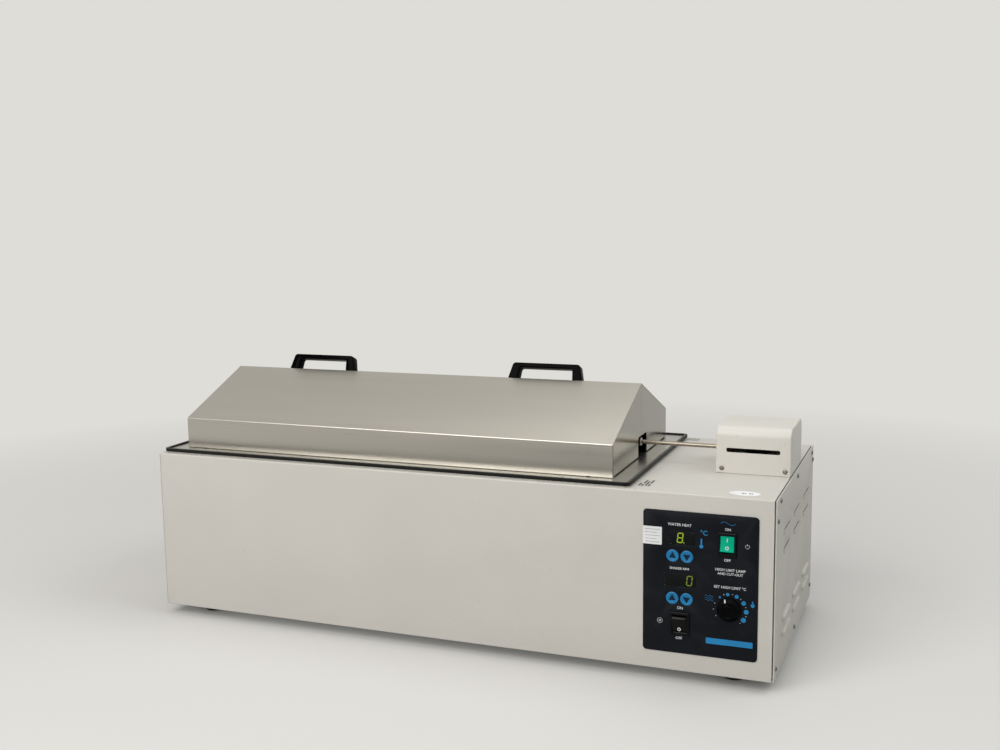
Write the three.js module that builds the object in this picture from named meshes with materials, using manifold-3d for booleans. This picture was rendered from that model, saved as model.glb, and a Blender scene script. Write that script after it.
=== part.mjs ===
// Laboratory shaking water bath: painted casing, stainless tank, gabled lid and shaker drive.
// Millimetres, +Z up, front towards -Y, origin on the table under the middle of the whole object.

import * as THREE from 'three';
import { mergeVertices } from 'three/addons/utils/BufferGeometryUtils.js';
import Module from 'manifold-3d';

const wasm = await Module();
wasm.setup();

// Casing
const casingLength = 935;
const casingDepth = 366;
const casingHeight = 238;
const casingSheet = 1.5;
const casingBend = 4;
const returnFlange = 15;
const sideSeam = 1.2;
const sideLip = 12;

// Clearances shared by all pieces
const seatGap = 0.3;
const runningGap = 0.3;
const cutOverrun = 2;

// Feet and base pan
const footHeight = 17.5;
const footRadius = 18;
const footBaseRadius = 15;
const footInsetX = 58;
const footInsetY = 46;
const panSheet = 1.5;
const panLip = 12;
const panVentLength = 60;
const panVentWidth = 6;
const panVentPitch = 18;
const panVentCount = 5;

// Louvres of the right side panel
const louvreLength = 58;
const louvreHeight = 10;
const louvreProud = 4;
const louvreSheet = 1.2;
const louvrePitchY = 98;
const louvreColumns = 3;
const louvreMiddleY = 6;
const louvreUpperRows = [183, 158];
const louvreLowerRows = [65, 44];

// Tank, its flange and the trim round the flange
const trimEndMargin = 6.4;
const driveBayLength = 189.6;
const trimSideMargin = 5.3;
const flangeEnd = 44.5;
const flangeSide = 42.7;
const tankOffsetX = 3.65;
const tankDepth = 160;
const tankSheet = 1.2;
const tankCorner = 18;
const flangeRise = 3;
const trimBand = 7;
const trimHeight = 5.5;
const trimCorner = 12;
const trimWall = 1.6;
const deckLedge = 8;

// Heater and sensors
const heaterEndInset = 45;
const heaterSideInset = 40;
const heaterBand = 14;
const heaterThickness = 5;
const probeRadius = 3;
const probeReach = 18;
const probeTail = 22;
const probeNutRadius = 7;
const probeNutLength = 6;
const probeRise = 40;
const probeInsetY = 40;

// Lid
const lidEndMargin = 29.25;
const lidSideMargin = 27.7;
const lidSkirt = 44.2;
const lidRise = 61.3;
const lidSheet = 1.2;
const lidBend = 2.4;
const lidAboveDeck = 8.5;
const lidEndInset = 2;
const notchWidth = 48;
const notchHeight = 28.5;
const notchMiddleY = 7.5;
const bumperRadius = 4;
const bumperInsetX = 26;

// Handles on the far slope of the lid
const handleInset = 150.25;
const handleDownSlope = 12;
const handleHeight = 25;
const handleFootLength = 117;
const handleTopLength = 105;
const handleDepth = 16;
const handleBar = 7;
const handleLegFoot = 15;
const handleLegTop = 11;
const handleCorner = 4;

// Shaker tray, its wheels and its arm
const strokeHalf = 12.7;
const trayEndInset = 25;
const traySideInset = 17;
const trayOffsetX = 9.75;
const traySheet = 1.5;
const trayLip = 20;
const trayRise = 28;
const trayHoleRadius = 6;
const trayHoleColumns = 10;
const trayHoleRows = 4;
const trayHoleMarginX = 20;
const trayHoleMarginY = 14;
const wheelRadius = 12;
const wheelWidth = 8;
const wheelInsetX = 80;
const wheelInsetY = 18;
const axleRadius = 3;
const armWidth = 36;
const armSheet = 3;
const armInset = 32;
const armToe = 26;

// Rod, coupling, yoke and crank
const rodRadius = 3;
const rodAboveDeck = 28;
const couplingRadius = 6;
const couplingOut = 1;
const yokeLength = 54;
const yokeWidth = 26;
const yokeThickness = 10;
const yokePinClearance = 3;
const crankPinRadius = 4;
const crankPinReach = 6;
const crankDiscRadius = 21;
const crankDiscThickness = 7;
const crankDiscAboveDeck = 8;
const crankShaftRadius = 5;
const crankShaftDown = 26;

// Drive housing on the deck
const housingLength = 102;
const housingDepth = 98;
const housingHeight = 66;
const housingSheet = 1.5;
const housingBend = 14;
const housingInset = 53;
const housingSlotLength = 73;
const housingSlotHeight = 6;
const housingSlotRise = 34;
const rodHoleRadius = 6;

// Gear motor and its bracket
const bracketLength = 76;
const bracketWidth = 84;
const bracketSheet = 3;
const shaftHoleRadius = 11;
const gearboxLength = 70;
const gearboxWidth = 62;
const gearboxHeight = 44;
const motorRadius = 31;
const motorHeight = 78;

// Control panel on the front
const panelWidth = 150.5;
const panelBottomMargin = 27;
const panelTopMargin = 23.6;
const panelCorner = 5;
const panelInset = 95.9;
const overlayThickness = 0.8;

// Displays, each given by its place on the panel and the size of its window
const displayWindows = {
  temperature_window: { across: -23, up: 60.3, width: 32, height: 18 },
  speed_window: { across: -26, up: 3.8, width: 40, height: 17 },
};
const windowThickness = 2.2;
const windowProud = 0.2;

// Keys
const keyRadius = 8.2;
const keyProud = 0.6;
const keyDepth = 7;
const keyFlangeRadius = 9;
const keyFlangeThickness = 2;
const keyPlaces = {
  temperature_up_key: { across: -36.1, up: 35.6 },
  temperature_down_key: { across: -17.3, up: 35.6 },
  speed_up_key: { across: -36.1, up: -21.4 },
  speed_down_key: { across: -17.3, up: -21.4 },
};

// Boards behind the panel
const boardThickness = 1.6;
const displayBoardDepth = 12;
const displayBoardWidth = 56;
const displayBoardHeight = 116;
const displayBoardUp = 19;
const controlBoardDepth = 44;
const controlBoardWidth = 120;
const controlBoardHeight = 130;
const controlBoardUp = -12;
const boardPartHeight = 16;
const boardPartLength = 34;
const boardPartWidth = 26;
const standoffRadius = 3.5;
const standoffInset = 7;

// Rocker switches
const rockerTilt = 12;
const switchDepth = 24;
const bezelProud = 2;
const bezelLip = 1.6;
const rockerSwitches = {
  power: { across: 34.9, up: 57, width: 24, height: 29, rocker: 19.6, side: -1 },
  motor: { across: -26.3, up: -56, width: 26.6, height: 27.4, rocker: 21, side: 1 },
};
const rockerLength = 20;
const rockerPivotDepth = 2;
const rockerBelly = 8;
const rockerFace = 1.2;

// Over-temperature control
const knobAcross = 38.1;
const knobUp = -28.9;
const knobRadius = 15.4;
const knobTopRadius = 13.6;
const knobHeight = 14;
const knobPointerWidth = 2.2;
const knobPointerProud = 0.6;
const knobRestTurn = 33;
const knobShaftRadius = 3;
const knobShaftLength = 18;
const thermostatRadius = 19;
const thermostatDepth = 26;

// Transformer
const transformerLength = 80;
const transformerWidth = 62;
const transformerHeight = 58;
const transformerCoilInset = 12;
const transformerCoilRise = 8;
const transformerInset = 82.5;
const transformerFromRear = 123;

// Mains inlet on the rear
const inletInset = 75.5;
const inletUp = 62;
const inletWidth = 48;
const inletHeight = 28;
const inletFlange = 6;
const inletFlangeThickness = 2.5;
const inletDepth = 26;
const socketWidth = 25;
const socketHeight = 17;
const socketDepth = 17;
const pinWidth = 4;
const pinThickness = 2;
const pinLength = 12;
const pinPitch = 7;

// Drain on the rear
const drainInset = 95.5;
const drainRise = 14;
const drainBore = 5;
const drainPipeRadius = 7;
const drainPipeOut = 9;
const valveWidth = 24;
const valveLength = 28;
const valveHeight = 22;
const plugRadius = 7.5;
const leverLength = 40;
const leverWidth = 9;
const leverThickness = 4;
const leverNeck = 5;

// Facets
const roundSteps = 24;
const smallSteps = 12;
const holeSteps = 8;
const hexSteps = 6;
const bendSteps = 4;

// Places worked out from the sizes above
const halfLength = casingLength / 2;
const frontY = -casingDepth / 2;
const rearY = casingDepth / 2;
const panBottom = footHeight + seatGap;
const casingBottom = panBottom - seatGap - casingSheet;
const deckTop = casingBottom + casingHeight;
const deckUnder = deckTop - casingSheet;
const trimLength = casingLength - trimEndMargin - driveBayLength;
const trimWidth = casingDepth - 2 * trimSideMargin;
const trimMiddleX = (trimEndMargin - driveBayLength) / 2;
const tankLength = trimLength - 2 * flangeEnd;
const tankWidth = trimWidth - 2 * flangeSide;
const tankMiddleX = trimMiddleX - tankOffsetX;
const heaterLength = tankLength - 2 * heaterEndInset;
const heaterWidth = tankWidth - 2 * heaterSideInset;
const probeOffsetY = tankWidth / 2 - probeInsetY;
const lidLength = trimLength - 2 * lidEndMargin;
const lidDepth = trimWidth - 2 * lidSideMargin;
const lidEndX = tankMiddleX + lidLength / 2;
const handleSpacing = lidLength - 2 * handleInset;
const trayLength = tankLength - 2 * trayEndInset;
const trayWidth = tankWidth - 2 * traySideInset;
const trayMiddleX = tankMiddleX - trayOffsetX;
const trayHolePitchX = (trayLength - 2 * trayHoleMarginX) / trayHoleColumns;
const trayHolePitchY = (trayWidth - 2 * trayHoleMarginY) / trayHoleRows;
const wheelBaseX = trayLength - 2 * wheelInsetX;
const wheelTrackY = trayWidth - 2 * wheelInsetY;
const armMiddleX = lidEndX - armInset;
const couplingEndX = lidEndX + couplingOut;
const housingMiddleX = halfLength - housingInset;
const panelHeight = casingHeight - panelBottomMargin - panelTopMargin;
const panelMiddleX = halfLength - panelInset;
const panelMiddleZ = casingBottom + panelBottomMargin + panelHeight / 2;
const transformerMiddleX = halfLength - transformerInset;
const transformerMiddleY = rearY - transformerFromRear;
const inletX = halfLength - inletInset;
const drainX = drainInset - halfLength;
const flangeTop = deckTop + flangeRise;
const tankFloor = flangeTop - tankDepth;
const tankUnder = tankFloor - tankSheet;
const lidBottom = deckTop + lidAboveDeck;
const lidShoulder = lidBottom + lidSkirt;
const ridgeTop = lidShoulder + lidRise;
const slopeAngle = Math.atan2(lidRise, lidDepth / 2);
const rodZ = deckTop + rodAboveDeck;
const axleZ = tankFloor + seatGap + wheelRadius;
const trayTop = tankFloor + trayRise;
const frontInside = frontY + casingSheet;
const rearInside = rearY - casingSheet;
const displayBoardY = frontInside + displayBoardDepth;
const controlBoardY = frontInside + controlBoardDepth;

const colours = {
  paint: 0xd1cec7, paintSide: 0xc4c1b8, stainless: 0xb4afa3, rubber: 0x1a1a1b, black: 0x161718,
  panel: 0x191a1f, steel: 0xb9bbbd, brass: 0xb79b58, board: 0x1f5a3a, copper: 0xa8643a,
  green: 0x1fb48c, blue: 0x1e8cc8, smoked: 0x14180f, white: 0xe6e6e2, aluminium: 0xa9acae,
};
const finish = {
  paint: [0.5, 0], stainless: [0.32, 1], rubber: [0.85, 0], plastic: [0.45, 0], metal: [0.35, 1],
};

// Solids and booleans
function toSolid(geometry) {
  const plain = geometry.clone();
  plain.deleteAttribute('normal');
  plain.deleteAttribute('uv');
  const merged = mergeVertices(plain);
  const vertProperties = new Float32Array(merged.attributes.position.array);
  const triVerts = new Uint32Array(merged.index.array);
  return new wasm.Manifold(new wasm.Mesh({ numProp: 3, vertProperties, triVerts }));
}

function toGeometry(solid) {
  const mesh = solid.getMesh();
  const geometry = new THREE.BufferGeometry();
  geometry.setAttribute('position', new THREE.BufferAttribute(new Float32Array(mesh.vertProperties), 3));
  geometry.setIndex(new THREE.BufferAttribute(new Uint32Array(mesh.triVerts), 1));
  return geometry;
}

function join(first, ...others) {
  return toGeometry(others.reduce((solid, other) => solid.add(toSolid(other)), toSolid(first)));
}

function cut(first, ...others) {
  return toGeometry(others.reduce((solid, other) => solid.subtract(toSolid(other)), toSolid(first)));
}

// Blocks and round bars between two limits
function block(x, y, z) {
  const geometry = new THREE.BoxGeometry(x[1] - x[0], y[1] - y[0], z[1] - z[0]);
  return geometry.translate((x[0] + x[1]) / 2, (y[0] + y[1]) / 2, (z[0] + z[1]) / 2);
}

function around(middle, size) {
  return [middle - size / 2, middle + size / 2];
}

function barZ(x, y, z, radius, steps = roundSteps, topRadius = radius) {
  const geometry = new THREE.CylinderGeometry(topRadius, radius, z[1] - z[0], steps);
  return geometry.rotateX(Math.PI / 2).translate(x, y, (z[0] + z[1]) / 2);
}

function barY(x, y, z, radius, steps = roundSteps) {
  const geometry = new THREE.CylinderGeometry(radius, radius, y[1] - y[0], steps);
  return geometry.translate(x, (y[0] + y[1]) / 2, z);
}

function barX(x, y, z, radius, steps = roundSteps) {
  const geometry = new THREE.CylinderGeometry(radius, radius, x[1] - x[0], steps);
  return geometry.rotateZ(Math.PI / 2).translate((x[0] + x[1]) / 2, y, z);
}

// Flat outlines pushed along one axis
function alongZ(shape, z) {
  const options = { depth: z[1] - z[0], bevelEnabled: false, curveSegments: bendSteps };
  return new THREE.ExtrudeGeometry(shape, options).translate(0, 0, z[0]);
}

function alongX(shape, x) {
  const geometry = alongZ(shape, x);
  const turn = new THREE.Matrix4().makeBasis(
    new THREE.Vector3(0, 1, 0), new THREE.Vector3(0, 0, 1), new THREE.Vector3(1, 0, 0));
  return geometry.applyMatrix4(turn);
}

function alongY(shape, y) {
  const geometry = alongZ(shape, [-y[1], -y[0]]);
  const turn = new THREE.Matrix4().makeBasis(
    new THREE.Vector3(1, 0, 0), new THREE.Vector3(0, 0, 1), new THREE.Vector3(0, -1, 0));
  return geometry.applyMatrix4(turn);
}

function outline(points) {
  return new THREE.Shape(points.map(([a, b]) => new THREE.Vector2(a, b)));
}

function roundedRectangle(middleA, middleB, width, height, radius) {
  const [a0, a1] = around(middleA, width);
  const [b0, b1] = around(middleB, height);
  return outline(roundCorners([[a0, b0], [a1, b0], [a1, b1], [a0, b1]], () => radius, true));
}

// Replaces the corners of a line of points by arcs
function roundCorners(points, radiusAt, closed = false) {
  const count = points.length;
  const result = [];
  points.forEach((point, index) => {
    if (!closed && (index === 0 || index === count - 1)) {
      result.push(point);
      return;
    }
    const corner = new THREE.Vector2(...point);
    const before = new THREE.Vector2(...points[(index + count - 1) % count]).sub(corner).normalize();
    const after = new THREE.Vector2(...points[(index + 1) % count]).sub(corner).normalize();
    const radius = radiusAt(before, after);
    const half = Math.acos(THREE.MathUtils.clamp(before.dot(after), -1, 1)) / 2;
    const start = corner.clone().addScaledVector(before, radius / Math.tan(half));
    const reach = radius / Math.sin(half);
    const middle = before.clone().add(after).normalize().multiplyScalar(reach).add(corner);
    const arm = start.clone().sub(middle);
    const turnSign = Math.sign(before.cross(after)) * -1;
    const sweep = (Math.PI - 2 * half) * turnSign;
    for (let step = 0; step <= bendSteps; step += 1) {
      const spoke = arm.clone().rotateAround(new THREE.Vector2(), (sweep * step) / bendSteps);
      result.push([middle.x + spoke.x, middle.y + spoke.y]);
    }
  });
  return result;
}

// Moves an open line of points to its left by a distance, with mitred corners
function offsetLine(points, distance) {
  return points.map((point, index) => {
    const here = new THREE.Vector2(...point);
    const normals = [];
    if (index > 0) {
      const run = here.clone().sub(new THREE.Vector2(...points[index - 1])).normalize();
      normals.push(new THREE.Vector2(-run.y, run.x));
    }
    if (index < points.length - 1) {
      const run = new THREE.Vector2(...points[index + 1]).sub(here).normalize();
      normals.push(new THREE.Vector2(-run.y, run.x));
    }
    const sum = normals.reduce((total, normal) => total.add(normal), new THREE.Vector2());
    const shift = sum.multiplyScalar((distance * normals.length) / sum.lengthSq());
    return [here.x + shift.x, here.y + shift.y];
  });
}

// Section of a bent sheet whose outer face runs along the points, with the sheet to their left
function sheetSection(points, thickness, bend) {
  const outerRadius = (before, after) => (before.cross(after) < 0 ? bend : bend - thickness);
  const innerRadius = (before, after) => (before.cross(after) < 0 ? bend - thickness : bend);
  const outer = roundCorners(points, outerRadius);
  const inner = roundCorners(offsetLine(points, thickness), innerRadius);
  return outline([...outer, ...inner.reverse()]);
}

const bath = new THREE.Group();

function add(name, geometry, colour, look, parent = bath) {
  const [roughness, metalness] = finish[look];
  const material = new THREE.MeshStandardMaterial({ color: colours[colour], roughness, metalness });
  const mesh = new THREE.Mesh(geometry, material);
  mesh.name = name;
  parent.add(mesh);
  return mesh;
}

// Panel places, measured from the middle of the panel
const panelX = (across) => panelMiddleX + across;
const panelZ = (up) => panelMiddleZ + up;

// Openings of the front wall and, slightly smaller, of the overlay
function panelOpenings(y, margin) {
  const windows = Object.values(displayWindows).map(({ across, up, width, height }) => block(
    around(panelX(across), width + 2 * margin), y, around(panelZ(up), height + 2 * margin)));
  const keys = Object.values(keyPlaces).map(({ across, up }) => barY(
    panelX(across), y, panelZ(up), keyRadius + margin));
  const switches = Object.values(rockerSwitches).map(({ across, up, width, height }) => block(
    around(panelX(across), width - 2 * bezelLip + 2 * margin), y,
    around(panelZ(up), height - 2 * bezelLip + 2 * margin)));
  const shaft = barY(panelX(knobAcross), y, panelZ(knobUp), knobShaftRadius + 2 * runningGap, smallSteps);
  return [...windows, ...keys, ...switches, shaft];
}

// Casing: one bent sheet makes the front, deck and rear, with return flanges along the bottom
function casingShell() {
  const line = [
    [rearY - returnFlange, casingBottom], [rearY, casingBottom], [rearY, deckTop],
    [frontY, deckTop], [frontY, casingBottom], [frontY + returnFlange, casingBottom],
  ];
  const reach = halfLength - casingSheet - sideSeam;
  const shell = alongX(sheetSection(line, casingSheet, casingBend), [-reach, reach]);
  const deckCut = [deckUnder - cutOverrun, deckTop + cutOverrun];
  const ledge = tankSheet + deckLedge;
  const tankHole = alongZ(roundedRectangle(tankMiddleX, 0, tankLength + 2 * ledge, tankWidth + 2 * ledge,
    tankCorner + ledge), deckCut);
  const shaftHole = barZ(housingMiddleX, 0, deckCut, shaftHoleRadius);
  const rearCut = [rearInside - cutOverrun, rearY + cutOverrun];
  const inletHole = block(around(inletX, inletWidth + 2 * seatGap), rearCut,
    around(casingBottom + inletUp, inletHeight + 2 * seatGap));
  const drainHole = barY(drainX, rearCut, tankFloor + drainRise, drainPipeRadius + seatGap, smallSteps);
  const frontCut = [frontY - cutOverrun, frontInside + cutOverrun];
  return cut(shell, tankHole, shaftHole, inletHole, drainHole, ...panelOpenings(frontCut, seatGap));
}

// Side panel: a flat plate with a lip that goes inside the casing's end
function sidePanel(side) {
  const inner = halfLength - casingSheet;
  const plateX = side > 0 ? [inner, halfLength] : [-halfLength, -inner];
  const lipX = side > 0 ? [plateX[0] - sideLip, plateX[0]] : [plateX[1], plateX[1] + sideLip];
  const middleZ = (casingBottom + deckTop) / 2;
  const plate = alongX(roundedRectangle(0, middleZ, casingDepth, casingHeight, casingBend), plateX);
  const inset = 2 * (casingSheet + seatGap);
  const innerBend = casingBend - casingSheet;
  const lip = alongX(roundedRectangle(0, middleZ, casingDepth - inset, casingHeight - inset, innerBend),
    side > 0 ? [lipX[0], lipX[1] + casingSheet / 2] : [lipX[0] - casingSheet / 2, lipX[1]]);
  const hollow = alongX(roundedRectangle(0, middleZ, casingDepth - inset - 2 * casingSheet,
    casingHeight - inset - 2 * casingSheet, casingSheet),
    side > 0 ? [lipX[0] - cutOverrun, plateX[0]] : [plateX[1], lipX[1] + cutOverrun]);
  return join(plate, cut(lip, hollow));
}

// One louvre: a hood pressed out of the plate, open along one edge
function louvreOutline(z, opening, shrink) {
  const tall = louvreHeight - shrink;
  const proud = louvreProud - shrink;
  const root = halfLength - casingSheet - (shrink > 0 ? cutOverrun : 0);
  const mouth = z + (opening * louvreHeight) / 2 + (shrink > 0 ? opening * cutOverrun : 0);
  const back = z + (opening * louvreHeight) / 2 - opening * tall;
  return outline([[root, back], [halfLength, back], [halfLength + proud, mouth], [root, mouth]]);
}

function louvred(panel) {
  const hoods = [];
  const hollows = [];
  const rows = [...louvreUpperRows.map((up) => [casingBottom + up, 1]),
    ...louvreLowerRows.map((up) => [casingBottom + up, -1])];
  rows.forEach(([z, opening]) => {
    for (let column = 0; column < louvreColumns; column += 1) {
      const y = louvreMiddleY + (column - (louvreColumns - 1) / 2) * louvrePitchY;
      const inside = louvreLength - 2 * louvreSheet;
      hoods.push(alongY(louvreOutline(z, opening, 0), around(y, louvreLength)));
      hollows.push(alongY(louvreOutline(z, opening, louvreSheet), around(y, inside)));
    }
  });
  return cut(join(panel, ...hoods), ...hollows);
}

// Base pan: flat floor with upturned edges and vent slots under the drive end
function basePan() {
  const lengthX = casingLength - 2 * (casingSheet + sideLip + cutOverrun);
  const widthY = casingDepth - 2 * (casingBend + seatGap);
  const plate = block(around(0, lengthX), around(0, widthY), [panBottom, panBottom + panSheet]);
  const lipZ = [panBottom, panBottom + panLip];
  const frontLip = block(around(0, lengthX), [-widthY / 2, -widthY / 2 + panSheet], lipZ);
  const rearLip = block(around(0, lengthX), [widthY / 2 - panSheet, widthY / 2], lipZ);
  const vents = [];
  for (let index = 0; index < panVentCount; index += 1) {
    const y = (index - (panVentCount - 1) / 2) * panVentPitch;
    vents.push(block(around(housingMiddleX - panVentLength, panVentLength), around(y, panVentWidth),
      [panBottom - cutOverrun, panBottom + panSheet + cutOverrun]));
  }
  return cut(join(plate, frontLip, rearLip), ...vents);
}

// Tank: deep drawn basin hanging from a wide flange
function tank() {
  const outer = alongZ(roundedRectangle(tankMiddleX, 0, tankLength + 2 * tankSheet,
    tankWidth + 2 * tankSheet, tankCorner + tankSheet), [tankUnder, flangeTop]);
  const flange = alongZ(roundedRectangle(trimMiddleX, 0, trimLength - 2 * trimWall - 2 * seatGap,
    trimWidth - 2 * trimWall - 2 * seatGap, trimCorner - trimWall - seatGap),
    [flangeTop - tankSheet, flangeTop]);
  const hollow = alongZ(roundedRectangle(tankMiddleX, 0, tankLength, tankWidth, tankCorner),
    [tankFloor, flangeTop + cutOverrun]);
  const wallX = tankMiddleX + tankLength / 2;
  const probeCut = [wallX - cutOverrun, wallX + tankSheet + cutOverrun];
  const probeHoles = [-1, 1].map((side) => barX(probeCut, side * probeOffsetY, tankFloor + probeRise,
    probeRadius + runningGap, smallSteps));
  const drainCut = [tankWidth / 2 - cutOverrun, tankWidth / 2 + tankSheet + cutOverrun];
  const drainHole = barY(drainX, drainCut, tankFloor + drainRise, drainBore, smallSteps);
  return cut(join(outer, flange), hollow, ...probeHoles, drainHole);
}

// Rubber trim: a grooved band round the flange's edge
function tankTrim() {
  const band = alongZ(roundedRectangle(trimMiddleX, 0, trimLength, trimWidth, trimCorner),
    [deckTop + seatGap, deckTop + trimHeight]);
  const inside = alongZ(roundedRectangle(trimMiddleX, 0, trimLength - 2 * trimBand,
    trimWidth - 2 * trimBand, trimCorner - trimBand),
    [deckTop - cutOverrun, deckTop + trimHeight + cutOverrun]);
  const groove = alongZ(roundedRectangle(trimMiddleX, 0, trimLength - 2 * trimWall,
    trimWidth - 2 * trimWall, trimCorner - trimWall),
    [flangeTop - tankSheet - seatGap, flangeTop + seatGap]);
  return cut(band, inside, groove);
}

// Heater: a flat loop clamped against the underside of the tank floor
function heater() {
  const top = tankUnder - seatGap;
  const height = [top - heaterThickness, top];
  const outer = alongZ(roundedRectangle(tankMiddleX, 0, heaterLength, heaterWidth, heaterBand * 2), height);
  const inner = alongZ(roundedRectangle(tankMiddleX, 0, heaterLength - 2 * heaterBand,
    heaterWidth - 2 * heaterBand, heaterBand), [height[0] - cutOverrun, height[1] + cutOverrun]);
  return cut(outer, inner);
}

// Sensor: a thin rod through the tank's end wall with its nut outside
function sensor(side) {
  const wallX = tankMiddleX + tankLength / 2;
  const y = side * probeOffsetY;
  const z = tankFloor + probeRise;
  const rod = barX([wallX - probeReach, wallX + tankSheet + probeTail], y, z, probeRadius, smallSteps);
  const nutStart = wallX + tankSheet + seatGap;
  return join(rod, barX([nutStart, nutStart + probeNutLength], y, z, probeNutRadius, hexSteps));
}

// Lid shell: skirts and two slopes bent from one sheet
function lidShell() {
  const line = [
    [lidDepth / 2, lidBottom], [lidDepth / 2, lidShoulder], [0, ridgeTop],
    [-lidDepth / 2, lidShoulder], [-lidDepth / 2, lidBottom],
  ];
  return alongX(sheetSection(line, lidSheet, lidBend), around(tankMiddleX, lidLength));
}

// Lid end plate: fits inside the shell, with the rod's notch in the right one
function lidEnd(side) {
  const inset = lidSheet + seatGap;
  const halfDepth = lidDepth / 2 - inset;
  const slopeInset = inset / Math.cos(slopeAngle);
  const top = ridgeTop - slopeInset;
  const shoulder = top - Math.tan(slopeAngle) * halfDepth;
  const section = outline(roundCorners([[-halfDepth, lidBottom], [halfDepth, lidBottom],
    [halfDepth, shoulder], [0, top], [-halfDepth, shoulder]], () => lidBend, true));
  const outerX = tankMiddleX + side * (lidLength / 2 - lidEndInset);
  const limits = side > 0 ? [outerX - lidSheet, outerX] : [outerX, outerX + lidSheet];
  const plate = alongX(section, limits);
  if (side < 0) {
    return plate;
  }
  return cut(plate, block([limits[0] - cutOverrun, limits[1] + cutOverrun],
    around(notchMiddleY, notchWidth), [lidBottom - cutOverrun, lidBottom + notchHeight]));
}

// Rubber bumper under a corner of the lid's skirt, standing on the tank flange
function lidBumper(endSide, depthSide) {
  const x = tankMiddleX + endSide * (lidLength / 2 - bumperInsetX);
  const y = depthSide * (lidDepth / 2 - bumperRadius);
  return barZ(x, y, [flangeTop + seatGap, lidBottom - seatGap], bumperRadius, smallSteps);
}

// Bridge handle: tapered legs and a bar, standing square to the lid's far slope
function lidHandle() {
  const foot = handleFootLength / 2;
  const crown = handleTopLength / 2;
  const outer = [[foot, 0], [crown, handleHeight], [-crown, handleHeight], [-foot, 0]];
  const inner = [[-foot + handleLegFoot, 0], [-crown + handleLegTop, handleHeight - handleBar],
    [crown - handleLegTop, handleHeight - handleBar], [foot - handleLegFoot, 0]];
  const arch = outline([...roundCorners(outer, () => handleCorner),
    ...roundCorners(inner, () => handleCorner / 2)]);
  return alongY(arch, around(0, handleDepth));
}

function placeHandle(name, side) {
  const holder = new THREE.Group();
  const y = handleDownSlope * Math.cos(slopeAngle) + seatGap * Math.sin(slopeAngle);
  const z = ridgeTop - handleDownSlope * Math.sin(slopeAngle) + seatGap * Math.cos(slopeAngle);
  holder.position.set(tankMiddleX + (side * handleSpacing) / 2, y, z);
  holder.rotation.x = -slopeAngle;
  bath.add(holder);
  add(name, lidHandle(), 'black', 'plastic', holder);
}

// Shaker tray: perforated plate with side lips that carry the axles
function shakerTray() {
  const plateZ = [trayTop - traySheet, trayTop];
  const plate = block(around(trayMiddleX, trayLength), around(0, trayWidth), plateZ);
  const lipZ = [trayTop - trayLip, trayTop];
  const lips = [-1, 1].map((side) => block(around(trayMiddleX, trayLength),
    around((side * (trayWidth - traySheet)) / 2, traySheet), lipZ));
  const holes = [];
  for (let column = 0; column < trayHoleColumns; column += 1) {
    for (let row = 0; row < trayHoleRows; row += 1) {
      holes.push(barZ(trayMiddleX + (column - (trayHoleColumns - 1) / 2) * trayHolePitchX,
        (row - (trayHoleRows - 1) / 2) * trayHolePitchY,
        [plateZ[0] - cutOverrun, plateZ[1] + cutOverrun], trayHoleRadius, holeSteps));
    }
  }
  const axleCut = around(0, trayWidth + 2 * cutOverrun);
  const axleHoles = [-1, 1].map((end) => barY(trayMiddleX + (end * wheelBaseX) / 2, axleCut, axleZ,
    axleRadius + runningGap, smallSteps));
  return cut(join(plate, ...lips), ...holes, ...axleHoles);
}

function trayAxle(end) {
  return barY(trayMiddleX + (end * wheelBaseX) / 2, around(0, trayWidth + traySheet), axleZ,
    axleRadius, smallSteps);
}

function trayWheel(end, side) {
  const x = trayMiddleX + (end * wheelBaseX) / 2;
  const tread = barY(x, around((side * wheelTrackY) / 2, wheelWidth), axleZ, wheelRadius);
  const bore = barY(x, around(0, trayWidth), axleZ, axleRadius + runningGap, smallSteps);
  return cut(tread, bore);
}

// Arm: a strip that lies on the tray's end and rises out of the tank to the rod
function trayArm() {
  const line = [
    [trayMiddleX + trayLength / 2 - armToe, trayTop + seatGap],
    [armMiddleX + armSheet / 2, trayTop + seatGap],
    [armMiddleX + armSheet / 2, rodZ + couplingRadius * 2],
  ];
  return alongY(sheetSection(line, armSheet, armSheet * 2), around(0, armWidth));
}

function rodCoupling() {
  const start = armMiddleX + armSheet / 2 + seatGap;
  const sleeve = barX([start, couplingEndX], 0, rodZ, couplingRadius);
  return cut(sleeve, barX([couplingEndX - couplingRadius * 2, couplingEndX + cutOverrun], 0, rodZ,
    rodRadius + seatGap, smallSteps));
}

function driveRod() {
  const start = couplingEndX - couplingRadius * 2 + seatGap;
  return barX([start, housingMiddleX - yokeWidth / 2 - seatGap], 0, rodZ, rodRadius, smallSteps);
}

// Yoke: a plate on the rod whose slot takes the crank pin
function driveYoke() {
  const slotWidth = 2 * (crankPinRadius + yokePinClearance);
  const slotLength = 2 * (strokeHalf + crankPinRadius + runningGap);
  const plate = block(around(housingMiddleX, yokeWidth), around(0, yokeLength),
    around(rodZ, yokeThickness));
  const slot = alongZ(roundedRectangle(housingMiddleX, 0, slotWidth, slotLength, crankPinRadius),
    around(rodZ, yokeThickness + 2 * cutOverrun));
  return cut(plate, slot);
}

// Crank: shaft, disc and off-centre pin, with the pin at the middle of its stroke
function crank() {
  const discZ = [deckTop + crankDiscAboveDeck, deckTop + crankDiscAboveDeck + crankDiscThickness];
  const disc = barZ(housingMiddleX, 0, discZ, crankDiscRadius);
  const shaft = barZ(housingMiddleX, 0, [deckUnder - crankShaftDown, discZ[0] + crankDiscThickness / 2],
    crankShaftRadius);
  const pinTop = rodZ + yokeThickness / 2 + crankPinReach;
  const pin = barZ(housingMiddleX, -strokeHalf, [discZ[1] - crankDiscThickness / 2, pinTop],
    crankPinRadius);
  return join(disc, shaft, pin);
}

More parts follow.
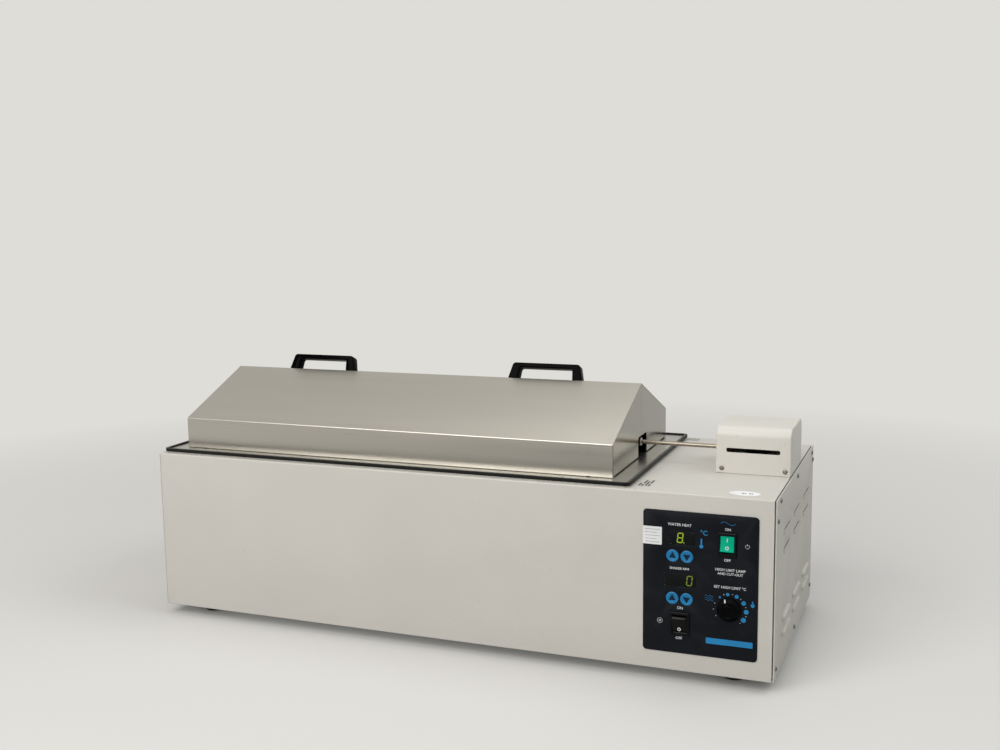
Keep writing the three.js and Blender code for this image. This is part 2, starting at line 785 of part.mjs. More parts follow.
// Housing: a deep cover with a wide bend front and rear, open to the deck
function driveHousing() {
  const bottom = deckTop + seatGap;
  const section = (inset) => {
    const half = housingDepth / 2 - inset;
    const top = deckTop + housingHeight - inset;
    const low = inset > 0 ? bottom - cutOverrun : bottom;
    const radius = (before, after) => (before.y + after.y < 0 ? housingBend - inset : 0);
    return outline(roundCorners([[-half, low], [half, low], [half, top], [-half, top]], radius, true));
  };
  const outer = alongX(section(0), around(housingMiddleX, housingLength));
  const inner = alongX(section(housingSheet), around(housingMiddleX, housingLength - 2 * housingSheet));
  const slot = block(around(housingMiddleX, housingSlotLength),
    [-housingDepth / 2 - cutOverrun, -housingDepth / 2 + cutOverrun + housingSheet],
    around(deckTop + housingSlotRise, housingSlotHeight));
  const leftWall = housingMiddleX - housingLength / 2;
  const rodHole = barX([leftWall - cutOverrun, leftWall + housingSheet + cutOverrun], 0, rodZ,
    rodHoleRadius);
  return cut(outer, inner, slot, rodHole);
}

function motorBracket() {
  const top = deckUnder - seatGap;
  const plate = block(around(housingMiddleX, bracketLength), around(0, bracketWidth),
    [top - bracketSheet, top]);
  return cut(plate, barZ(housingMiddleX, 0, [top - bracketSheet - cutOverrun, top + cutOverrun],
    shaftHoleRadius));
}

function gearMotor() {
  const top = deckUnder - seatGap - bracketSheet - seatGap;
  const gearbox = block(around(housingMiddleX, gearboxLength), around(0, gearboxWidth),
    [top - gearboxHeight, top]);
  const motor = barZ(housingMiddleX, 0, [top - gearboxHeight - motorHeight, top - gearboxHeight / 2],
    motorRadius);
  const boreBottom = deckUnder - crankShaftDown - runningGap;
  return cut(join(gearbox, motor), barZ(housingMiddleX, 0, [boreBottom, top + cutOverrun],
    crankShaftRadius + runningGap));
}

function panelOverlay() {
  const faceY = [frontY - seatGap - overlayThickness, frontY - seatGap];
  const sheet = alongY(roundedRectangle(panelMiddleX, panelMiddleZ, panelWidth, panelHeight,
    panelCorner), faceY);
  const cutY = [faceY[0] - cutOverrun, faceY[1] + cutOverrun];
  return cut(sheet, ...panelOpenings(cutY, seatGap));
}

function displayWindow({ across, up, width, height }) {
  const face = frontY - seatGap - overlayThickness - windowProud;
  return block(around(panelX(across), width), [face, face + windowThickness + casingSheet],
    around(panelZ(up), height));
}

// Board behind the panel that holds the two digit modules up against their windows
function displayBoard() {
  const board = block(around(panelX(keyPlaces.temperature_up_key.across), displayBoardWidth),
    [displayBoardY, displayBoardY + boardThickness],
    around(panelZ(displayBoardUp), displayBoardHeight));
  const windowBack = frontY - seatGap - overlayThickness - windowProud + windowThickness + casingSheet;
  const modules = Object.values(displayWindows).map(({ across, up, width, height }) => block(
    around(panelX(across), width - 2 * windowThickness),
    [windowBack + seatGap, displayBoardY + boardThickness / 2],
    around(panelZ(up), height - windowThickness)));
  const posts = Object.values(keyPlaces).map(({ across, up }) => barY(panelX(across),
    [keyRear() + 2 * keyProud, displayBoardY + boardThickness / 2], panelZ(up), keyRadius / 2, smallSteps));
  return join(board, ...modules, ...posts);
}

// Key: a cap through the wall with a flange behind it that keeps it in
const keyFace = () => frontY - seatGap - overlayThickness - keyProud;
const keyRear = () => keyFace() + keyDepth;

function panelKey({ across, up }) {
  const cap = barY(panelX(across), [keyFace(), keyRear()], panelZ(up), keyRadius);
  const flangeY = frontInside + seatGap;
  const flange = barY(panelX(across), [flangeY, flangeY + keyFlangeThickness], panelZ(up),
    keyFlangeRadius);
  return join(cap, flange);
}

// Switch body: bezel outside the panel and a hollow box behind it
function switchCavityHalf() {
  return Math.hypot(rockerLength / 2, rockerPivotDepth + rockerFace
    + (Math.tan(THREE.MathUtils.degToRad(rockerTilt)) * rockerLength) / 2) + runningGap;
}

function switchBody({ across, up, width, height, rocker }) {
  const front = frontY - seatGap - overlayThickness - seatGap;
  const bezel = block(around(panelX(across), width), [front - bezelProud, front],
    around(panelZ(up), height));
  const box = block(around(panelX(across), width - 2 * bezelLip),
    [front - bezelProud / 2, front + switchDepth],
    around(panelZ(up), height - 2 * bezelLip));
  const cavity = block(around(panelX(across), rocker + 2 * runningGap),
    [front - bezelProud - cutOverrun, front + rockerPivotDepth + rockerBelly + runningGap],
    around(panelZ(up), 2 * switchCavityHalf()));
  return cut(join(bezel, box), cavity);
}

// Rocker: two flat faces in a shallow vee and a round belly, tilted to its resting side
function placeRocker(name, { across, up, rocker, side }) {
  const tilt = THREE.MathUtils.degToRad(rockerTilt);
  const half = rockerLength / 2;
  const tip = rockerFace + Math.tan(tilt) * half;
  const belly = [];
  for (let step = 0; step <= bendSteps * 2; step += 1) {
    const angle = (Math.PI * step) / (bendSteps * 2);
    belly.push([rockerBelly * Math.sin(angle), -rockerBelly * Math.cos(angle)]);
  }
  const front = -rockerPivotDepth;
  const section = outline([[front - tip, half], [front - rockerFace, 0], [front - tip, -half],
    [0, -half], ...belly, [0, half]]);
  const holder = new THREE.Group();
  const faceY = frontY - seatGap - overlayThickness - seatGap;
  holder.position.set(panelX(across), faceY + rockerPivotDepth, panelZ(up));
  holder.rotation.x = side * tilt;
  bath.add(holder);
  const colour = name === 'power_rocker' ? 'green' : 'black';
  add(name, alongX(section, around(0, rocker)), colour, 'plastic', holder);
}

// Over-temperature knob with its shaft, turned to its resting mark
function placeKnob() {
  const base = frontY - seatGap - overlayThickness - seatGap;
  const body = new THREE.CylinderGeometry(knobRadius, knobTopRadius, knobHeight, roundSteps)
    .translate(0, -knobHeight / 2, 0);
  const shaft = barY(0, [-knobHeight / 2, knobShaftLength], 0, knobShaftRadius, smallSteps);
  const pointer = block(around(0, knobPointerWidth),
    [-knobHeight - knobPointerProud, -knobHeight + knobPointerProud],
    [knobTopRadius / 3, knobTopRadius - knobPointerProud]);
  const holder = new THREE.Group();
  holder.position.set(panelX(knobAcross), base, panelZ(knobUp));
  holder.rotation.y = -THREE.MathUtils.degToRad(knobRestTurn);
  bath.add(holder);
  add('overtemp_knob', join(body, shaft, pointer), 'black', 'plastic', holder);
}

function thermostatBody() {
  const front = frontInside + seatGap;
  const can = barY(panelX(knobAcross), [front, front + thermostatDepth], panelZ(knobUp), thermostatRadius);
  const boreEnd = frontY - seatGap - overlayThickness - seatGap + knobShaftLength + runningGap;
  const bore = barY(panelX(knobAcross), [front - cutOverrun, boreEnd], panelZ(knobUp),
    knobShaftRadius + runningGap, smallSteps);
  return cut(can, bore);
}

// Control board: upright on posts from the front wall's bracket, with its largest parts
function controlBoard() {
  const y = [controlBoardY, controlBoardY + boardThickness];
  const board = block(around(panelMiddleX, controlBoardWidth), y,
    around(panelZ(controlBoardUp), controlBoardHeight));
  const parts = [-1, 0, 1].map((place) => block(
    around(panelMiddleX + place * (boardPartLength + standoffInset), boardPartLength),
    [y[1] - boardThickness / 2, y[1] + boardPartHeight],
    around(panelZ(controlBoardUp) + place * boardPartWidth, boardPartWidth)));
  const feet = [-1, 1].map((side) => block(
    around(panelMiddleX + side * (controlBoardWidth / 2 - standoffInset), 2 * standoffRadius),
    [y[0] - boardPartHeight / 2, y[0] + boardThickness / 2],
    [panBottom + panSheet + seatGap, panelZ(controlBoardUp)]));
  return join(board, ...parts, ...feet);
}

// Transformer: laminated core with a coil through it, bolted to the base pan
function transformer() {
  const bottom = panBottom + panSheet + seatGap;
  const core = block(around(transformerMiddleX, transformerLength),
    around(transformerMiddleY, transformerWidth - 2 * transformerCoilInset),
    [bottom, bottom + transformerHeight]);
  const coil = block(around(transformerMiddleX, transformerLength - 2 * transformerCoilInset),
    around(transformerMiddleY, transformerWidth),
    [bottom + transformerCoilRise, bottom + transformerHeight - transformerCoilRise]);
  return join(core, coil);
}

// Mains inlet: flange outside the rear wall, body through it and a socket with three pins
function mainsInlet() {
  const z = casingBottom + inletUp;
  const back = rearY + seatGap;
  const flange = block(around(inletX, inletWidth + 2 * inletFlange),
    [back, back + inletFlangeThickness], around(z, inletHeight + 2 * inletFlange));
  const body = block(around(inletX, inletWidth), [back + inletFlangeThickness - inletDepth,
    back + inletFlangeThickness / 2], around(z, inletHeight));
  const face = back + inletFlangeThickness;
  const socket = block(around(inletX, socketWidth), [face - socketDepth, face + cutOverrun],
    around(z, socketHeight));
  const pins = [-1, 0, 1].map((place) => block(around(inletX + place * pinPitch, pinThickness),
    [face - socketDepth - pinThickness, face - socketDepth + pinLength],
    around(z + (place === 0 ? pinThickness : -pinThickness), pinWidth)));
  return join(cut(join(flange, body), socket), ...pins);
}

// Drain: pipe from the tank wall through the rear, and a cock with a quarter-turn plug
function drainPipe() {
  const z = tankFloor + drainRise;
  const length = [tankWidth / 2 + tankSheet + seatGap, rearY + drainPipeOut];
  const pipe = barY(drainX, length, z, drainPipeRadius, smallSteps);
  return cut(pipe, barY(drainX, [length[0] - cutOverrun, length[1] + cutOverrun], z, drainBore,
    smallSteps));
}

const valveStart = () => rearY + drainPipeOut + seatGap;
const valveMiddleY = () => valveStart() + valveLength / 2;

function drainValve() {
  const z = tankFloor + drainRise;
  const body = block(around(drainX, valveWidth), [valveStart(), valveStart() + valveLength],
    around(z, valveHeight));
  const bore = barY(drainX, [valveStart() - cutOverrun, valveStart() + valveLength + cutOverrun], z,
    drainBore, smallSteps);
  const plugHole = barZ(drainX, valveMiddleY(), around(z, valveHeight + 2 * cutOverrun),
    plugRadius + runningGap);
  return cut(body, bore, plugHole);
}

// Plug and lever turn together; at rest the lever lies across the pipe and the cock is shut
function drainPlug() {
  const z = tankFloor + drainRise;
  const top = z + valveHeight / 2;
  const plug = barZ(drainX, valveMiddleY(), [z - valveHeight / 2, top + leverNeck], plugRadius);
  const bore = barX(around(drainX, valveWidth + cutOverrun), valveMiddleY(), z, drainBore - runningGap,
    smallSteps);
  const lever = block([drainX - leverLength, drainX + plugRadius], around(valveMiddleY(), leverWidth),
    [top + leverNeck - leverThickness / 2, top + leverNeck + leverThickness / 2]);
  return join(cut(plug, bore), lever);
}

function foot(sideX, sideY) {
  return barZ(sideX * (halfLength - footInsetX), sideY * (casingDepth / 2 - footInsetY),
    [0, footHeight], footBaseRadius, roundSteps, footRadius);
}

add('casing_shell', casingShell(), 'paint', 'paint');
add('right_side_panel', louvred(sidePanel(1)), 'paintSide', 'paint');
add('left_side_panel', sidePanel(-1), 'paintSide', 'paint');
add('base_pan', basePan(), 'steel', 'metal');
[['front', -1], ['rear', 1]].forEach(([depthName, depthSide]) => {
  [['left', -1], ['right', 1]].forEach(([endName, endSide]) => {
    add(`foot_${depthName}_${endName}`, foot(endSide, depthSide), 'rubber', 'rubber');
    add(`lid_bumper_${depthName}_${endName}`, lidBumper(endSide, depthSide), 'rubber', 'rubber');
    add(`tray_wheel_${depthName}_${endName}`, trayWheel(endSide, depthSide), 'white', 'plastic');
  });
});
add('tank', tank(), 'stainless', 'stainless');
add('tank_edge_trim', tankTrim(), 'rubber', 'rubber');
add('tank_heater', heater(), 'copper', 'metal');
add('temperature_probe', sensor(1), 'steel', 'metal');
add('overtemp_bulb', sensor(-1), 'copper', 'metal');
add('lid_shell', lidShell(), 'stainless', 'stainless');
add('lid_end_left', lidEnd(-1), 'stainless', 'stainless');
add('lid_end_right', lidEnd(1), 'stainless', 'stainless');
placeHandle('lid_handle_left', -1);
placeHandle('lid_handle_right', 1);
add('shaker_tray', shakerTray(), 'stainless', 'stainless');
add('tray_axle_left', trayAxle(-1), 'steel', 'metal');
add('tray_axle_right', trayAxle(1), 'steel', 'metal');
add('tray_arm', trayArm(), 'stainless', 'stainless');
add('rod_coupling', rodCoupling(), 'steel', 'metal');
add('drive_rod', driveRod(), 'steel', 'metal');
add('drive_yoke', driveYoke(), 'aluminium', 'metal');
add('crank', crank(), 'steel', 'metal');
add('drive_housing', driveHousing(), 'paint', 'paint');
add('motor_bracket', motorBracket(), 'steel', 'metal');
add('gear_motor', gearMotor(), 'aluminium', 'metal');
add('panel_overlay', panelOverlay(), 'panel', 'plastic');
Object.entries(displayWindows).forEach(([name, place]) => {
  add(name, displayWindow(place), 'smoked', 'plastic');
});
add('display_board', displayBoard(), 'board', 'plastic');
Object.entries(keyPlaces).forEach(([name, place]) => add(name, panelKey(place), 'blue', 'plastic'));
Object.entries(rockerSwitches).forEach(([name, place]) => {
  add(`${name}_switch_body`, switchBody(place), 'black', 'plastic');
  placeRocker(`${name}_rocker`, place);
});
placeKnob();
add('thermostat_body', thermostatBody(), 'steel', 'metal');
add('control_board', controlBoard(), 'board', 'plastic');
add('transformer', transformer(), 'copper', 'metal');
add('mains_inlet', mainsInlet(), 'black', 'plastic');
add('drain_pipe', drainPipe(), 'brass', 'metal');
add('drain_valve_body', drainValve(), 'brass', 'metal');
add('drain_lever', drainPlug(), 'brass', 'metal');

// The origin lies under the middle of the whole object, so the reach of what stands out is shared
const frontReach = seatGap + overlayThickness + seatGap + knobHeight + knobPointerProud;
const rearReach = drainPipeOut + seatGap + valveLength;
bath.position.set(-louvreProud / 2, (frontReach - rearReach) / 2, 0);

export default bath;
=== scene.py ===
"""Laboratory shaking water bath: detailed pieces, finishes, studio and camera, in metres in the row frame."""
import math

import bmesh
import bpy
from bpy.props import FloatProperty, FloatVectorProperty, IntProperty, PointerProperty
from mathutils import Matrix, Vector


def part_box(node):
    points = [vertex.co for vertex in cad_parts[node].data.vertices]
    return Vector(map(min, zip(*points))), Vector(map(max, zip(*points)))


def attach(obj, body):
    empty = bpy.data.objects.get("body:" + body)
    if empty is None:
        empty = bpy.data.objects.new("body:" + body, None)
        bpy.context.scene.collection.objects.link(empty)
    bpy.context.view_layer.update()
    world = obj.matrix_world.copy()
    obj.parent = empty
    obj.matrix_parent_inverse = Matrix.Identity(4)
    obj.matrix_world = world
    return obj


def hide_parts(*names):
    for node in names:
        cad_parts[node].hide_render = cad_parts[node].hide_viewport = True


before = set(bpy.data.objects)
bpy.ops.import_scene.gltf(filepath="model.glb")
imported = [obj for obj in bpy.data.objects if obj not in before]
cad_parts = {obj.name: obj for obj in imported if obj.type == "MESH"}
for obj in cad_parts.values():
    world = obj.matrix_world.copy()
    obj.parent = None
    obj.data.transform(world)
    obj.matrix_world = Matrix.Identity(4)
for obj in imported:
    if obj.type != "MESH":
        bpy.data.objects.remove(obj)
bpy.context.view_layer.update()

bl_info = {
    "name": "Laboratory Water Bath",
    "version": (1, 0, 0),
    "blender": (4, 5, 0),
    "location": "View3D > Sidebar > Water Bath",
    "description": "Builds a laboratory shaking water bath piece by piece on its CAD frame",
    "category": "Object",
}

MM = 0.001
LOW, HIGH, MIDDLE = 0, 1, 2
X, Y, Z = 0, 1, 2
UP, DOWN = (0, 0, 1), (0, 0, -1)
RIGHTWARDS, BACKWARDS, FORWARDS = (1, 0, 0), (0, 1, 0), (0, -1, 0)
ORIGIN = (0, 0, 0)


def box(node):
    """Lowest corner, highest corner and middle of a CAD node."""
    low, high = (Vector(corner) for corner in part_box(node))
    return low, high, (low + high) / 2


def linear(red, green, blue):
    """Turns a colour in everyday 0 to 255 values into the linear values that shaders take."""
    def channel(value):
        share = value / 255
        return share / 12.92 if share <= 0.04045 else ((share + 0.055) / 1.055) ** 2.4
    return tuple(channel(value) for value in (red, green, blue))


# ---------------------------------------------------------------- settings

def length(name, description, default):
    return FloatProperty(name=name, description=description, default=default * MM, unit="LENGTH", precision=4)


def colour(name, description, *everyday):
    return FloatVectorProperty(name=name, description=description, subtype="COLOR", size=3,
                               min=0.0, max=1.0, default=linear(*everyday))


class BathSizes(bpy.types.PropertyGroup):
    """Sizes of the fine forms that the CAD nodes leave out, given in millimetres."""
    sheet: length("Casing sheet", "Thickness of the painted steel sheet", 1.5)
    casing_bend: length("Casing bend", "Outer radius of the casing's bends", 1.6)
    return_flange: length("Return flange", "Width of the flange along the casing's bottom", 15)
    lid_sheet: length("Lid sheet", "Thickness of the stainless lid", 1.2)
    lid_bend: length("Lid bend", "Outer radius of the lid's folds", 1.25)
    lid_hem: length("Lid hem", "Width of the folded hem inside the lid's bottom edge", 9)
    tank_sheet: length("Tank sheet", "Thickness of the tank's walls", 1.2)
    tank_corner: length("Tank corner", "Radius of the tank's upright corners", 18)
    tank_cove: length("Tank cove", "Radius between the tank's walls and its floor", 12)
    trim_band: length("Trim band", "Width of the rubber trim", 4.6)
    trim_corner: length("Trim corner", "Corner radius of the rubber trim", 8)
    housing_bend: length("Housing bend", "Radius of the drive housing's wide bends", 14)
    panel_corner: length("Panel corner", "Corner radius of the panel overlay", 5)
    screw_head: length("Screw head", "Radius of the pan head screws", 3.3)
    round_sides: IntProperty(name="Round sides", description="Sides of a round piece", default=40, min=12)


class BathColours(bpy.types.PropertyGroup):
    """Colours of the finishes."""
    paint: colour("Paint", "Off-white powder coat", 208, 205, 198)
    stainless: colour("Lid stainless", "Warm grey of the brushed lid", 198, 194, 185)
    tank: colour("Tank stainless", "Grey of the pickled tank", 198, 196, 190)
    zinc: colour("Zinc", "Plated steel", 178, 181, 184)
    steel: colour("Bright steel", "Screws and shafts", 176, 172, 164)
    # darker, warmer copy of the bright steel: painted shade and warm painted reflection on the drive rod
    rod: colour("Rod steel", "Drive rod steel darkened for painted shade", 152, 143, 130)
    brass: colour("Brass", "Drain fittings", 196, 158, 92)
    aluminium: colour("Aluminium", "Cast parts of the drive", 178, 180, 182)
    copper: colour("Copper", "Windings and heater foil", 178, 110, 70)
    rubber: colour("Rubber", "Trim and feet", 17, 17, 16)
    # pale grey painted highlight along the rounded top of the rubber trim
    trim_line: colour("Trim highlight", "Pale line along the trim", 112, 109, 103)
    black: colour("Black plastic", "Knob, bezels and handles", 9, 9, 10)
    panel: colour("Panel", "Blue-black overlay film", 11, 16, 23)
    blue: colour("Blue", "Keys and printed dots", 18, 132, 192)
    green: colour("Green rocker", "Lit power rocker", 2, 150, 118)
    digit: colour("Digits", "Lit display segments", 168, 200, 36)
    print_white: colour("White print", "Printed legends", 216, 220, 222)
    label: colour("Label", "Blank paper labels", 236, 238, 238)
    board: colour("Board", "Solder mask", 22, 84, 52)
    background: colour("Background", "Pale floor and backdrop", 222, 221, 216)


def sizes():
    return bpy.context.scene.bath_sizes


def colours():
    return bpy.context.scene.bath_colours


# ---------------------------------------------------------------- modelling by hand, in code

def object_mode():
    if bpy.context.mode != "OBJECT":
        bpy.ops.object.mode_set(mode="OBJECT")


def only(*pieces):
    """Selects these pieces alone, the first one active."""
    object_mode()
    bpy.ops.object.select_all(action="DESELECT")
    for piece in pieces:
        piece.select_set(True)
    if pieces:
        bpy.context.view_layer.objects.active = pieces[0]


def settled(name):
    """Names the active piece and puts its place, turn and size into its mesh."""
    piece = bpy.context.object
    piece.name = piece.data.name = name
    bpy.ops.object.transform_apply(location=True, rotation=True, scale=True)
    return piece


def placed(piece, stand):
    """Moves or turns a piece by a matrix, inside its mesh."""
    piece.matrix_world = stand @ piece.matrix_world
    only(piece)
    bpy.ops.object.transform_apply(location=True, rotation=True, scale=True)
    return piece


def shift(step):
    return Matrix.Translation(step)


def turn(angle, axis):
    return Matrix.Rotation(angle, 4, axis)


def facing(direction):
    """Turns what stands upright towards a direction."""
    return Vector(direction).to_track_quat("Z", "Y").to_matrix().to_4x4()


def turned_about(piece, axis, angle, centre=ORIGIN):
    centre = Vector(centre)
    return placed(piece, shift(centre) @ turn(angle, axis) @ shift(-centre))


def block(name, low, high):
    """A box between two corners, to be shaped further."""
    only()
    low, high = Vector(low), Vector(high)
    bpy.ops.mesh.primitive_cube_add(size=1, location=(low + high) / 2, scale=high - low)
    return settled(name)


def near(one, other):
    return abs(one - other) < 0.1 * MM


def along(direction):
    """The axis that an edge runs along, or None if it is oblique."""
    return next((axis for axis in (X, Y, Z) if abs(direction[axis]) > 0.999), None)


def edit(piece, kind="FACE", action="SELECT"):
    """Opens a piece in edit mode with everything or nothing selected."""
    only(piece)
    bpy.ops.object.mode_set(mode="EDIT")
    bpy.ops.mesh.select_mode(type=kind)
    bpy.ops.mesh.select_all(action=action)


def choose(piece, kind, test):
    """Opens a piece with only those parts selected that pass the test.

    The test gets a face's middle and normal, an edge's middle and axis, or a corner's place.
    """
    edit(piece, kind, "DESELECT")
    mesh = bmesh.from_edit_mesh(piece.data)
    if kind == "FACE":
        for face in mesh.faces:
            face.select_set(test(face.calc_center_median(), face.normal))
    elif kind == "EDGE":
        for edge in mesh.edges:
            first, last = (corner.co for corner in edge.verts)
            edge.select_set(test((first + last) / 2, along((last - first).normalized())))
    else:
        for corner in mesh.verts:
            corner.select_set(test(corner.co))
    mesh.select_flush_mode()
    bmesh.update_edit_mesh(piece.data)


def remove_faces(piece, test):
    choose(piece, "FACE", test)
    bpy.ops.mesh.delete(type="FACE")
    object_mode()


def round_edges(piece, radius, segments, test):
    """Bevels the edges whose middle and axis pass the test."""
    choose(piece, "EDGE", test)
    bpy.ops.mesh.bevel(offset=radius * MM, segments=segments, profile=0.5, affect="EDGES")
    object_mode()


def draw_out(piece, test, step):
    """Draws a flange out from the edges that pass the test."""
    choose(piece, "EDGE", test)
    bpy.ops.mesh.extrude_edges_move(TRANSFORM_OT_translate={"value": step})
    object_mode()


def split(piece, place, normal):
    """Scores a piece along a plane."""
    edit(piece)
    bpy.ops.mesh.bisect(plane_co=place, plane_no=normal)


def sliced(piece, place, normal, fill=False):
    """Cuts away what lies beyond a plane."""
    edit(piece)
    bpy.ops.mesh.bisect(plane_co=place, plane_no=normal, clear_outer=True, use_fill=fill)
    object_mode()
    return piece


def apply_modifier(piece, kind, **values):
    modifier = piece.modifiers.new("shaping", kind)
    for key, setting in values.items():
        setattr(modifier, key, setting)
    only(piece)
    bpy.ops.object.modifier_apply(modifier=modifier.name)
    return piece


def soften(piece, width, segments=2, angle=32):
    """Breaks every sharp edge of a piece."""
    return apply_modifier(piece, "BEVEL", width=width * MM, segments=segments, limit_method="ANGLE",
                          angle_limit=math.radians(angle), use_clamp_overlap=True)


def thicken(piece, thickness):
    """Gives a shell its wall, on the side its faces point away from."""
    return apply_modifier(piece, "SOLIDIFY", thickness=thickness, offset=-1, use_even_offset=True)


def combine(piece, tool, operation):
    apply_modifier(piece, "BOOLEAN", operation=operation, solver="EXACT", object=tool)
    bpy.data.objects.remove(tool)
    return piece


def joined(name, *pieces):
    only(*pieces)
    if len(pieces) > 1:
        bpy.ops.object.join()
    piece = bpy.context.object
    piece.name = piece.data.name = name
    return piece


def cut(piece, *tools):
    """Cuts tools, which don't overlap one another, out of a piece."""
    return combine(piece, joined("cutter", *tools), "DIFFERENCE")


def fuse(piece, tool):
    return combine(piece, tool, "UNION")


def face_outwards():
    """Selects all of the open piece and turns its faces outwards."""
    bpy.ops.mesh.select_all(action="SELECT")
    bpy.ops.mesh.normals_make_consistent(inside=False)
    object_mode()


def outwards(piece):
    """Merges doubles and turns all faces outwards."""
    edit(piece)
    bpy.ops.mesh.remove_doubles(threshold=0.01 * MM)
    face_outwards()


def copied(piece, name, stand):
    """A copy with its own mesh, set in its place."""
    only(piece)
    bpy.ops.object.duplicate(linked=False)
    duplicate = bpy.context.object
    duplicate.name = duplicate.data.name = name
    return placed(duplicate, stand)


def plate(name, low, high, axis, radius, segments=8):
    """A slab whose four edges along one axis are rounded."""
    slab = block(name, low, high)
    round_edges(slab, radius, segments, lambda at, way: way == axis)
    return slab


def disc(name, sides, radius, up=0.0):
    """A flat round piece, to be raised."""
    only()
    bpy.ops.mesh.primitive_circle_add(vertices=sides, radius=radius, fill_type="NGON", location=(0, 0, up))
    return settled(name)


def raised(piece, height):
    """Raises a flat piece to a slab."""
    edit(piece)
    bpy.ops.mesh.extrude_region_move(TRANSFORM_OT_translate={"value": (0, 0, height)})
    face_outwards()
    return piece


def turned(name, start, direction, rings, sides=None):
    """A lathe-turned piece. Rings are pairs of distance along the direction and radius, in millimetres."""
    rings = [(distance * MM, radius * MM) for distance, radius in rings]
    piece = disc(name, sides or sizes().round_sides, rings[0][1], rings[0][0])
    edit(piece)
    for (before, old), (after, new) in zip(rings, rings[1:]):
        bpy.ops.mesh.extrude_region_move(TRANSFORM_OT_translate={"value": (0, 0, after - before)})
        bpy.ops.transform.resize(value=(new / old, new / old, 1), center_override=(0, 0, after))
    face_outwards()
    return placed(piece, shift(start) @ facing(direction))


def both_ends(total, *rings):
    """The rings of a turned piece that is alike at both ends."""
    return [*rings, *((total - distance, radius) for distance, radius in reversed(rings))]


def bar(start, end, radius, sides=None):
    """A plain round bar, mostly used as a cutter. Its radius is in millimetres."""
    run = Vector(end) - Vector(start)
    return turned("bar", start, run, [(0, radius), (run.length / MM, radius)], sides)


def drill(spot, axis, start, end, radius, sides=None):
    """A round cutter through a place, between two values along an axis."""
    first, last = Vector(spot), Vector(spot)
    first[axis], last[axis] = start, end
    return bar(first, last, radius, sides)


def smooth(piece, angle=35):
    only(piece)
    bpy.ops.object.shade_smooth_by_angle(angle=math.radians(angle))
    return piece


def dress(piece, finish, slot, *nodes, body="bath"):
    """Gives a piece its material and the body it rides on, and hides the CAD nodes it stands for. The slot
    argument is not used.
    """
    piece.data.materials.clear()
    piece.data.materials.append(FINISHES[finish])
    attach(piece, body)
    if nodes:
        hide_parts(*nodes)
    return piece


def refinish(finish, *nodes):
    """Puts a finish on CAD nodes whose shape is right as it is."""
    for node in nodes:
        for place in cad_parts[node].material_slots:
            place.material = FINISHES[finish]


# ---------------------------------------------------------------- shader groups

def feed(node, inputs):
    """Links or sets a node's inputs, given by name or number."""
    for key, source in inputs.items():
        if isinstance(source, bpy.types.NodeSocket):
            node.id_data.links.new(source, node.inputs[key])
        else:
            node.inputs[key].default_value = source
    return node


def put(tree, kind, inputs=None, **values):
    """Adds a node, sets its values and feeds its inputs."""
    node = tree.nodes.new(kind)
    for key, setting in values.items():
        setattr(node, key, setting)
    return feed(node, inputs or {})


def spaced(inputs):
    """Inputs under the names that the nodes give them."""
    return {key.replace("_", " "): setting for key, setting in inputs.items()}


def value(tree, operation, *inputs, clamp=False):
    """A math node's result."""
    node = put(tree, "ShaderNodeMath", dict(enumerate(inputs)), operation=operation, use_clamp=clamp)
    return node.outputs[0]


def product(tree, first, second, amount):
    """Two masks and an amount multiplied, kept within 0 and 1."""
    return value(tree, "MULTIPLY", value(tree, "MULTIPLY", first, second), amount, clamp=True)


def vector(tree, operation, output, *inputs):
    """A vector math node's result."""
    return put(tree, "ShaderNodeVectorMath", dict(enumerate(inputs)), operation=operation).outputs[output]


def spread(tree, source, low, high, start=0.0, end=1.0):
    """Maps a value onto a range."""
    return put(tree, "ShaderNodeMapRange", {0: source, 1: start, 2: end, 3: low, 4: high}).outputs[0]


def noise(tree, place, scale, detail, **more):
    inputs = {"Vector": place, "Scale": scale, "Detail": detail, **more}
    return put(tree, "ShaderNodeTexNoise", inputs).outputs[0]


def new_group(name, **inputs):
    """Starts a shader group that takes a place and the named inputs."""
    tree = bpy.data.node_groups.new(name, "ShaderNodeTree")
    for label, default in {"Vector": None, **spaced(inputs)}.items():
        kind = "Float" if isinstance(default, float) else "Vector"
        socket = tree.interface.new_socket(name=label, in_out="INPUT", socket_type="NodeSocket" + kind)
        if default is not None:
            socket.default_value = default
    return tree, tree.nodes.new("NodeGroupInput").outputs


def give(tree, **results):
    """Ends a shader group with its named results."""
    for label in results:
        tree.interface.new_socket(name=label, in_out="OUTPUT", socket_type="NodeSocketFloat")
    put(tree, "NodeGroupOutput", results)
    return tree


def orange_peel():
    """Powder coat: a fine dimpled skin with slow drifts of tone."""
    tree, given = new_group("Orange Peel", Peel_Scale=420.0, Drift_Scale=5.0)
    place = given["Vector"]
    peel = noise(tree, place, given["Peel Scale"], 2.0, Roughness=0.55)
    cells = put(tree, "ShaderNodeTexVoronoi", {"Vector": place, "Scale": given["Peel Scale"]},
                feature="SMOOTH_F1")
    drift = noise(tree, place, given["Drift Scale"], 3.0)
    speck = noise(tree, place, 160.0, 1.0)
    return give(tree, Height=value(tree, "ADD", peel, cells.outputs["Distance"]),
                Drift=spread(tree, drift, 0.0, 1.0, 0.3, 0.7), Speck=spread(tree, speck, 0.0, 1.0, 0.7, 0.78))


